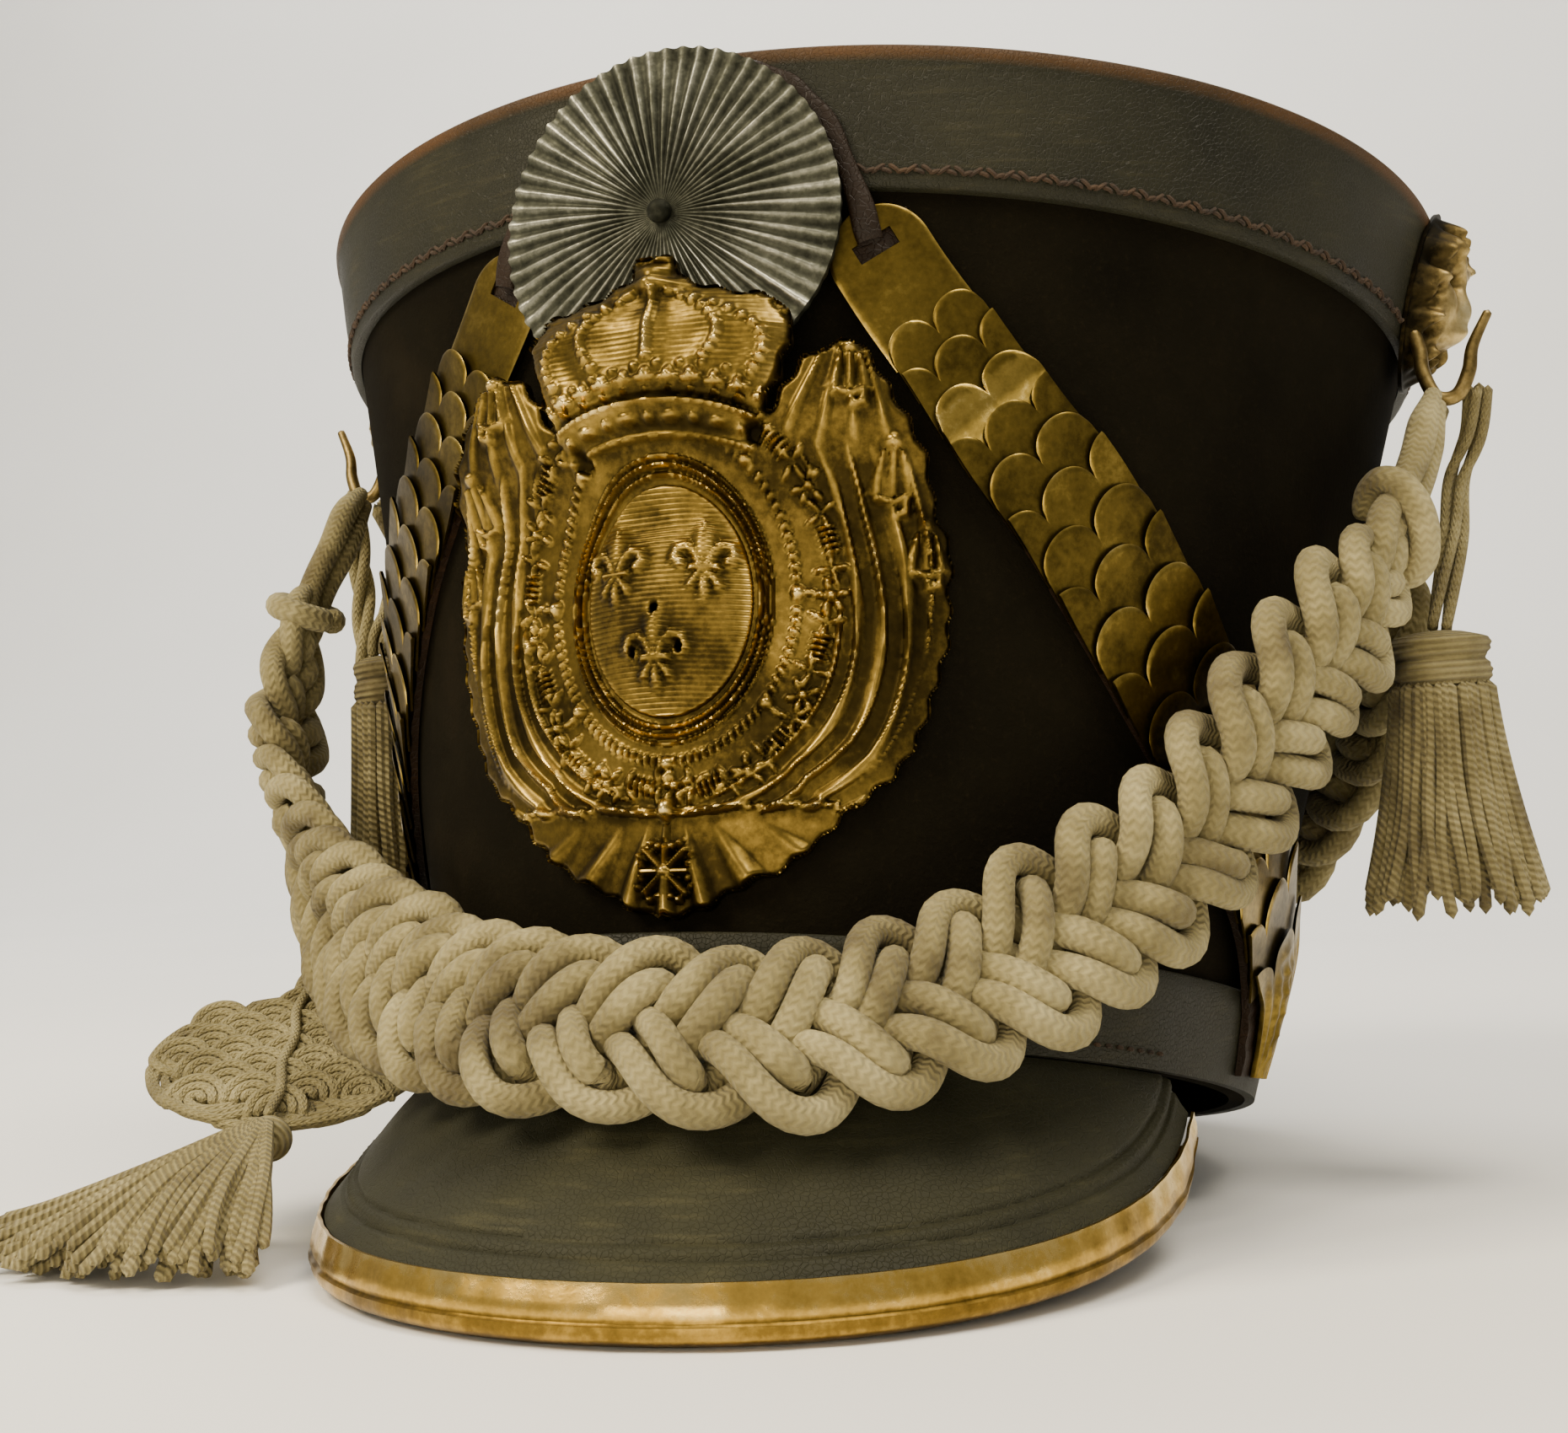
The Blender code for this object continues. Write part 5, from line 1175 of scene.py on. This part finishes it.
def worn_from(h, reach, strength):
    """0.5 plus how far a point stands over the mean of its neighbourhood."""
    mean = h
    for axis in (0, 1):
        padded = np.cumsum(np.pad(mean, [(reach + 1, reach) if k == axis else (0, 0)
                                         for k in (0, 1)], mode="edge"), axis=axis)
        upper = np.take(padded, range(2 * reach + 1, padded.shape[axis]), axis=axis)
        lower = np.take(padded, range(0, padded.shape[axis] - 2 * reach - 1), axis=axis)
        mean = (upper - lower) / (2 * reach + 1)
    return np.clip(0.5 + (h - mean) * strength, 0.02, 1.0)


def make_plate(brass):
    """The relief on a fine grid cut to the outline, with its edge points drawn onto it, a
    turned-back rim, a coarse back and a finer oval."""
    pitch = 0.36
    line = outline_mm()
    us = np.arange(-53.2, 53.3, pitch)
    vs = np.arange(-58.0, 64.6, pitch)
    u, v = np.meshgrid(us, vs, indexing="ij")
    a, b = line, np.roll(line, -1, axis=0)
    inside = np.zeros(u.shape, bool)
    best = np.full(u.shape, 1e9)
    snap_u, snap_v = u.copy(), v.copy()
    for (u0, v0), (u1, v1) in zip(a, b):
        crosses = ((v0 > v) != (v1 > v)) & (u < (u1 - u0) * (v - v0) / (v1 - v0 + 1e-12) + u0)
        inside ^= crosses
        near = (u - u0) ** 2 + (v - v0) ** 2
        closer = near < best
        best = np.where(closer, near, best)
        snap_u, snap_v = np.where(closer, u0, snap_u), np.where(closer, v0, snap_v)
    h = plate_relief(u, v)
    edge_drop = smooth_step(1 - np.sqrt(best) / 0.9) * inside
    h = np.maximum(h * (1 - 0.55 * edge_drop), 0.3) + PLATE_WALL * 1000
    near_ring = inside | (np.roll(inside, 1, 0) | np.roll(inside, -1, 0)
                          | np.roll(inside, 1, 1) | np.roll(inside, -1, 1))
    move = near_ring & ~inside
    u = np.where(move, snap_u, u)
    v = np.where(move, snap_v, v)
    points = on_plate(u, v, h)
    wear = worn_from(h, 6, 0.34)
    keep = near_ring[:-1, :-1] & near_ring[1:, :-1] & near_ring[1:, 1:] & near_ring[:-1, 1:]
    front = sheet_part(points, wear=wear)
    faces = front[1][keep.ravel()]
    edges = np.sort(np.stack([faces, np.roll(faces, -1, axis=1)], axis=-1).reshape(-1, 2), 1)
    pairs, first, count = np.unique(edges, axis=0, return_index=True, return_counts=True)
    rim = np.stack([faces, np.roll(faces, -1, axis=1)], axis=-1).reshape(-1, 2)[
        first[count == 1]]
    back = on_plate(u, v, np.zeros_like(u)).reshape(-1, 3)
    total = len(front[0])
    wall = np.stack([rim[:, 1], rim[:, 0], rim[:, 0] + total, rim[:, 1] + total], axis=1)
    shell = (np.concatenate([front[0], back]), np.concatenate([faces, wall]),
             np.concatenate([front[2][keep.ravel()], np.zeros((len(wall), 4, 2))]),
             np.concatenate([front[3], np.full(total, 0.2)]))
    used, index = np.unique(shell[1], return_inverse=True)
    shell = (shell[0][used], index.reshape(-1, 4), shell[2], shell[3][used])
    coarse = (slice(None, None, 4), slice(None, None, 4))
    cu, cv = u[coarse], v[coarse]
    closed = inside[coarse]
    kept = closed[:-1, :-1] & closed[1:, :-1] & closed[1:, 1:] & closed[:-1, 1:]
    low = sheet_part(on_plate(cu, cv, 0.15 + 0 * cu), wear=0.1)
    low = (low[0], low[1][kept.ravel()], low[2][kept.ravel()], low[3])
    used, index = np.unique(low[1], return_inverse=True)
    low = (low[0][used], index.reshape(-1, 4), low[2], low[3][used])
    make_piece("relief_plate", [shell, low], brass, ["front_plate"])

    v = np.linspace(-1, 1, 240)[:, None]
    u = np.linspace(-1, 1, 110)[None]
    ou = OVAL_W_MM * 0.86 * u * np.sqrt(np.maximum(1 - v ** 2, 1e-4))
    ov = OVAL_H_MM * 0.86 * v + 0 * u
    h = oval_relief(ou, ov)
    wear = worn_from(h, 6, 0.50)
    make_piece("relief_oval", [sheet_part(on_plate(ou, ov, h + PLATE_WALL * 1000), wear=wear)],
               brass)


plate_brass = brass_material("plate_brass", BRASS_STOPS)
make_plate(plate_brass)


# Chin scales, their straps and laces

STRAP_WALL, STRAP_WIDTH, STRAP_MARGIN = 0.0015, 0.0290, 0.0010
SCALE_WALL, SCALE_LAP_GAP, SCALE_COUNT, SCALE_LOBE = 0.0005, 0.0005, 16, 0.22
SCALE_PITCH_TOP, SCALE_PITCH_GROWTH, SCALE_TUCK = 0.0070, 0.00030, 0.0015
SLOT_PLATE_LENGTH, SLOT_WIDTH, SLOT_LENGTH, SLOT_AT = 0.0230, 0.0080, 0.0036, 0.0058
END_PLATE_TIP, BAND_STEP_START, BAND_STEP_RUN = 0.0120, 0.0340, 0.0280
LACE_WIDTH, LACE_WALL = 0.0050, 0.0018
STRAP_ROUTE = [
    # angle in degrees, height share, width share
    (16.8, 0.822, 0.66), (21.8, 0.742, 0.67), (27.0, 0.675, 0.70), (33.2, 0.604, 0.78),
    (40.2, 0.539, 0.86), (48.3, 0.458, 0.93), (57.6, 0.374, 0.98), (68.5, 0.292, 1.00),
    (79.5, 0.202, 1.00), (86.5, 0.120, 0.97), (88.5, 0.060, 0.90), (89.0, 0.012, 0.80),
]


def strap_table():
    """Metres along the strap, with its angle, height and width there."""
    rows = np.array(STRAP_ROUTE) * [math.pi / 180, BODY_HEIGHT, STRAP_WIDTH]
    places = on_bell(rows[:, 0], rows[:, 1])
    fine = smooth_route(np.concatenate([places, rows], axis=1), 0.001)
    return along(fine), fine[:, 3], fine[:, 4], fine[:, 5]


STRAP = strap_table()


def strap_place(d, w):
    run, angles, heights, _ = STRAP
    angle, z = np.interp(d, run, angles), np.interp(d, run, heights)
    ahead = np.minimum(d + 0.002, run[-1])
    turn = np.interp(ahead, run, angles) - np.interp(ahead - 0.004, run, angles)
    fall = np.interp(ahead, run, heights) - np.interp(ahead - 0.004, run, heights)
    share = z / BODY_HEIGHT
    width = BASE_HALF_WIDTH + (TOP_HALF_WIDTH - BASE_HALF_WIDTH) * share
    depth = BASE_HALF_DEPTH + (TOP_HALF_DEPTH - BASE_HALF_DEPTH) * share
    arc = np.hypot(width * np.cos(angle), depth * np.sin(angle))
    length = np.hypot(turn * arc, fall)
    return angle - w * fall / length / arc, z + w * turn * arc / length


def strap_width(d):
    return np.interp(d, STRAP[0], STRAP[3])


def strap_base(d, w):
    """Height of the strap's underside over the felt: it steps over the base band."""
    z = strap_place(d, w)[1]
    return GAP + (BAND_WALL + GAP) * smooth_step((BASE_BAND_HEIGHT + BAND_STEP_START - z)
                                                 / BAND_STEP_RUN)


def on_strap(side, d, w, off):
    angle, z = strap_place(d, w)
    place = on_bell(angle, z, off - BAND_WALL - GAP)
    place[..., 0] *= side
    return to_table(place)


def seat(d, w):
    return strap_base(d, w) + STRAP_WALL + GAP


def strap_slab(side, d, w, low, high, wear=0.5):
    """A closed wall over the strap between two heights, its wear on the upper face."""
    upper, lower = on_strap(side, d, w, high), on_strap(side, d, w, low)
    both = np.concatenate([upper, lower[:, ::-1]], axis=1)
    worn = np.broadcast_to(wear, d.shape)
    return sheet_part(both, (False, True), np.concatenate([worn, 0 * worn + 0.25], axis=1))


def scale_parts(side):
    """Each scale: rounded lobes at its upper edge, domed as 1 - x^2 across a lobe, lying on
    the scale above it; then the end plate with its raised leaf."""
    starts = [SLOT_PLATE_LENGTH]
    for i in range(SCALE_COUNT):
        starts.append(starts[-1] + SCALE_PITCH_TOP + SCALE_PITCH_GROWTH * i)
    lap = SCALE_WALL + SCALE_LAP_GAP
    deal = np.random.default_rng(21)
    share = np.linspace(-0.5, 0.5, 49)[None]
    t = np.linspace(0, 1, 11)[:, None] ** 1.4
    parts = []
    for i in range(SCALE_COUNT + 1):
        begin = starts[i]
        last = i == SCALE_COUNT
        depth = SCALE_LOBE * strap_width(begin)
        place = share * 2 + (0.5 if i % 2 == 0 and not last else 0.0)
        local = (place - np.round(place)) * 2
        tip = begin + depth * (1 - np.sqrt(np.maximum(0.0, 1 - local ** 2)))
        if last:
            end = STRAP[0][-1] - GAP
            d = tip + (end - tip) * np.linspace(0, 1, 40)[:, None]
            s = (d - begin) / (end - begin)
            wide = strap_width(d) * (1 - s) + END_PLATE_TIP * s
            low = seat(d, share * wide) + 1.75 * lap * (1 - s)
            leaf = 0.0013 * np.sin(math.pi * s) * np.cos(math.pi * share) ** 2
            chase = 0.00035 * np.cos(share * 38) * smooth_step((s - 0.12) / 0.2)
            spots = 0.0005 * np.exp(-((np.sin(s * 22) * 1.6) ** 2
                                      + (share * 7) ** 2))
            rise = SCALE_WALL + leaf + chase + spots
            parts.append(strap_slab(side, d, share * wide, low, low + rise, 0.35 + 0.3 * local ** 0))
            continue
        end = starts[i + 1] + SCALE_LOBE * strap_width(starts[i + 1]) + SCALE_TUCK
        d = tip + (end - tip) * t
        w = share * strap_width(d)
        low = seat(d, w) + lap * (end - d) / (starts[i + 1] - begin)
        dome = 0.00045 * (1 - local ** 2) * np.exp(-(d - tip) / 0.0035)
        bent = 0.0016 * (i == 2 and side > 0) * smooth_step((d - begin) / 0.008) \
            * smooth_step(1 - (d - begin - 0.006) / 0.006)
        lip = -0.0003 * smooth_step(1 - (d - tip) / 0.0006)
        tone = 0.50 + 0.34 * np.exp(-(d - tip) / 0.0006) + deal.uniform(-0.10, 0.08)
        # Painted highlight: the bent third scale on the left side is made brighter, on top of its
        # real bend.
        tone = tone + 0.24 * (bent > 0.0003)
        parts.append(strap_slab(side, d, w, low, low + SCALE_WALL + dome + lip + bent, tone))
    return parts


def slot_plate_parts(side):
    """The rounded top plate in four walls round its oblong hole."""
    radius = strap_width(0.0) / 2
    end = SLOT_PLATE_LENGTH + SCALE_LOBE * strap_width(SLOT_PLATE_LENGTH) + SCALE_TUCK

    def half(d):
        near = np.minimum(d, radius)
        return strap_width(d) / 2 * np.sqrt(np.maximum(1 - ((radius - near) / radius) ** 2,
                                                       0.0004))

    parts = []
    bands = ((0.0001, SLOT_AT, -1.0, 1.0), (SLOT_AT + SLOT_LENGTH, end, -1.0, 1.0),
             (SLOT_AT, SLOT_AT + SLOT_LENGTH, -1.0, None),
             (SLOT_AT, SLOT_AT + SLOT_LENGTH, None, 1.0))
    for first, last, left, right in bands:
        d = np.linspace(0, 1, 40)[:, None] ** (1.5 if first < SLOT_AT else 1) * (
            last - first) + first
        low = half(d) * left if left else SLOT_WIDTH / 2 + 0 * d
        high = half(d) * right if right else -SLOT_WIDTH / 2 + 0 * d
        w = low + (high - low) * np.linspace(0, 1, 24)[None]
        d = d + 0 * w
        edge = smooth_step(1 - (half(d) - np.abs(w)) / 0.0006)
        wear = 0.55 + 0.3 * edge
        parts.append(strap_slab(side, d, w, seat(d, w),
                                seat(d, w) + SCALE_WALL - 0.0002 * edge, wear))
    return parts


def make_chin_scales(leather, brass):
    """Both sides' straps, slotted plates, scales and laces."""
    length = STRAP[0][-1]
    for name, side in (("left", 1), ("right", -1)):
        d = np.linspace(0.004, length - 0.0005, 160)[:, None]
        w = np.linspace(-0.5, 0.5, 14)[None] * (strap_width(d) - 2 * STRAP_MARGIN)
        d = d + 0 * w
        base = strap_base(d, w)
        frayed = 0.0002 * np.sin(d * 900) * np.abs(w) / 0.014
        make_piece("strap_leather_" + name,
                   [strap_slab(side, d, w, base, base + STRAP_WALL + frayed)], leather,
                   ["scale_strap_" + name])
        make_piece("slotted_plate_" + name, slot_plate_parts(side), brass,
                   ["slot_plate_" + name])
        nodes = [f"scale_{name}_{i + 1:02d}" for i in range(SCALE_COUNT)]
        make_piece("lobed_scales_" + name, scale_parts(side), brass,
                   nodes + ["strap_end_" + name])
        angle, z = strap_place(SLOT_AT - 0.0016, 0.0)
        width = BASE_HALF_WIDTH + (TOP_HALF_WIDTH - BASE_HALF_WIDTH) * z / BODY_HEIGHT
        start_u, start_v = float(angle * width), float(z)
        route = smooth_route([
            (start_u + 0.0008, start_v - 0.0026, 0.0006), (start_u, start_v, 0.0012),
            (start_u - 0.0010, start_v + 0.0045, 0.0012),
            (start_u - 0.0040, start_v + 0.0130, 0.0003),
            (start_u - 0.0090, start_v + 0.0230, 0.0003),
            (start_u - 0.0170, BODY_HEIGHT - 0.0060, 0.0003),
            (start_u - 0.0270, BODY_HEIGHT - 0.0035, 0.0003)], 0.0007)
        run = unit(np.gradient(route[:, :2], axis=0))
        turn = np.linspace(0, 2 * math.pi, 16, endpoint=False)[None]
        across = 0.5 * LACE_WIDTH * np.sign(np.cos(turn)) * np.abs(np.cos(turn)) ** 0.6
        across = across * (0.9 + 0.1 * np.sin(route[:, :1] * 900))
        up = 0.5 * LACE_WALL * (1 + np.sin(turn))
        place = on_front(route[:, :1] - run[:, 1:] * across,
                         route[:, 1:2] + run[:, :1] * across, route[:, 2:] + up)
        place[..., 0] *= side
        make_piece("leather_lace_" + name, [sheet_part(to_table(place), (False, True))],
                   leather, ["lace_" + name])


scale_brass = brass_material("scale_brass", [(0.0, "151106"), (0.30, "3f3414"),
                                             (0.55, "675624"), (0.80, "9c843f"),
                                             (1.0, "dfc578")], (0.26, 0.46), 55.0)
make_chin_scales(brown_leather, scale_brass)


# Side bosses and hooks

BOSS_HALF_WIDTH, BOSS_HALF_HEIGHT, BOSS_RELIEF, BOSS_AT = 0.0115, 0.0195, 0.0105, 0.1650
HOOK_WIRE, HOOK_FORWARD = 0.0030, 0.0080


def mask_relief(x, y):
    """A beast's head in half sizes: mane locks round a brow, eye hollows, cheeks, a long
    muzzle and an open jaw."""
    radius = np.hypot(x, y)
    angle = np.arctan2(x, y)
    mane = 0.50 + 0.16 * np.cos(11 * angle + 5 * radius) + 0.10 * np.cos(19 * angle - 7 * radius)
    h = mane * smooth_step((1.02 - radius) / 0.28)
    face = smooth_step((0.74 - np.hypot(x / 0.95, (y + 0.02) / 0.95)) / 0.2)
    h = h * (1 - face) + face * 0.62
    h = h + 0.30 * blob(x, y, (0.0, -0.28), (0.34, 0.30), 1.0)
    h = h + 0.22 * blob(x, y, (0.0, 0.02), (0.16, 0.42), 1.0)
    h = h + 0.14 * blob(x, y, (0.0, -0.44), (0.20, 0.10), 1.0)
    h = h - 0.26 * blob(x, y, (0.0, -0.60), (0.26, 0.07), 1.0)
    for s in (-1, 1):
        h = h + 0.24 * blob(x, y, (0.27 * s, 0.32), (0.22, 0.11), 1.0, 0.5 * s)
        h = h - 0.24 * blob(x, y, (0.26 * s, 0.13), (0.15, 0.08), 1.0)
        h = h + 0.16 * blob(x, y, (0.40 * s, -0.12), (0.16, 0.2), 1.0)
        h = h + 0.20 * blob(x, y, (0.52 * s, 0.52), (0.14, 0.16), 1.0)
    return h


def make_bosses(brass):
    """Masks on the top band and the hooks soldered under them."""
    a = np.linspace(0, 2 * math.pi, 150, endpoint=False)[None]
    share = np.linspace(0.004, 1, 80)[:, None]
    x, y = share * np.sin(a), share * np.cos(a)
    h = mask_relief(x, y)
    wear = np.clip(0.15 + 1.1 * (h - 0.30), 0.05, 0.95)
    z = BOSS_AT + BOSS_HALF_HEIGHT * y
    turn = math.pi / 2 + BOSS_HALF_WIDTH * x / (TOP_HALF_DEPTH - 0.002)
    high = on_bell(turn, z, GAP + np.maximum(BOSS_RELIEF * h, 0.0008 * (1 - 0 * h)))
    low = on_bell(turn, z, GAP + 0 * h)
    low = low[back_rows(len(low), 6)]
    shell = np.concatenate([high, low])
    base = BOSS_AT - BOSS_HALF_HEIGHT
    wall = TOP_HALF_WIDTH + (BASE_HALF_WIDTH - TOP_HALF_WIDTH) * (1 - base / BODY_HEIGHT)
    hook = smooth_route([
        (wall + 0.0041, -HOOK_FORWARD, base + 0.0110), (wall + 0.0055, -HOOK_FORWARD, base + 0.0060),
        (wall + 0.0060, -HOOK_FORWARD, base + 0.0010), (wall + 0.0085, -HOOK_FORWARD, base - 0.0045),
        (wall + 0.0125, -HOOK_FORWARD, base - 0.0045), (wall + 0.0150, -HOOK_FORWARD, base + 0.0005),
        (wall + 0.0160, -HOOK_FORWARD, base + 0.0060), (wall + 0.0195, -HOOK_FORWARD, base + 0.0135)],
        0.0006)
    wire = HOOK_WIRE / 2 * (1 - 0.35 * smooth_step((along(hook) / along(hook)[-1] - 0.6) / 0.4))
    for name, side in (("left", 1), ("right", -1)):
        mirror = np.array([side, 1, 1])
        parts = [sheet_part(to_table(shell * mirror), (False, True),
                            np.concatenate([wear, 0 * low[..., 0]]))]
        parts += leaned(tube_parts((hook * mirror)[None], (0.0, 1.0, 0.0), wire[None], 14))
        make_piece("beast_mask_" + name, parts, brass, ["cord_boss_" + name])


boss_brass = brass_material("boss_brass", [(0.0, "15120a"), (0.3, "453a20"), (0.5, "857245"),
                                       (0.75, "c0aa74"), (1.0, "e8d8a8")], (0.3, 0.55))
make_bosses(boss_brass)


# Table and light

def make_stage():
    """A pale sweep that bends up behind the hat, and wide soft lights."""
    bend = np.radians(np.linspace(0, 90, 24))
    y = np.concatenate([[-3.0], 1.0 + 0.9 * np.sin(bend), [1.9]])
    z = np.concatenate([[0.0], 0.9 - 0.9 * np.cos(bend), [3.5]])
    verts = [(x, a, b) for a, b in zip(y, z) for x in (-4.0, 4.0)]
    mesh = bpy.data.meshes.new("table_top")
    mesh.from_pydata(verts, [], [(k, k + 1, k + 3, k + 2) for k in range(0, len(verts) - 2, 2)])
    mesh.shade_smooth()
    top = bpy.data.objects.new("table_top", mesh)
    material, tree, shader, place = start_material("pale_table")
    cloud = noise(tree, place["Object"], 3.0, 3.0)
    tree.links.new(ramp(tree, cloud, [(0.3, "f3f2ee"), (0.7, "f8f7f4")]),
                   shader.inputs["Base Color"])
    shader.inputs["Roughness"].default_value = 0.9
    mesh.materials.append(material)
    bpy.context.collection.objects.link(top)
    world = bpy.data.worlds.new("soft_room")
    world.use_nodes = True
    sky = world.node_tree.nodes["Background"]
    sky.inputs["Color"].default_value = colour("fffaf0")
    sky.inputs["Strength"].default_value = 0.45
    bpy.context.scene.world = world
    for name, place, aim, size, power, tone in (
            ("key", (-0.55, -0.75, 0.95), (0, 0, 0.10), 0.55, 19.0, "fff0d4"),
            ("top", (0.45, -0.25, 1.10), (0, 0, 0.10), 0.60, 11.0, "fff4e0"),
            ("low", (0.10, -1.05, 0.12), (0, -0.1, 0.05), 0.50, 4.0, "ffefd0"),
            ("back", (-0.60, 0.75, 1.80), (-1.0, 1.9, 0.3), 0.90, 34.0, "fffdf8")):
        data = bpy.data.lights.new(name, "AREA")
        data.size = size
        data.energy = power
        data.color = colour(tone)[:3]
        lamp = bpy.data.objects.new(name, data)
        lamp.location = place
        lamp.rotation_euler = (Vector(aim) - Vector(place)).to_track_quat("-Z", "Y").to_euler()
        bpy.context.collection.objects.link(lamp)


make_stage()
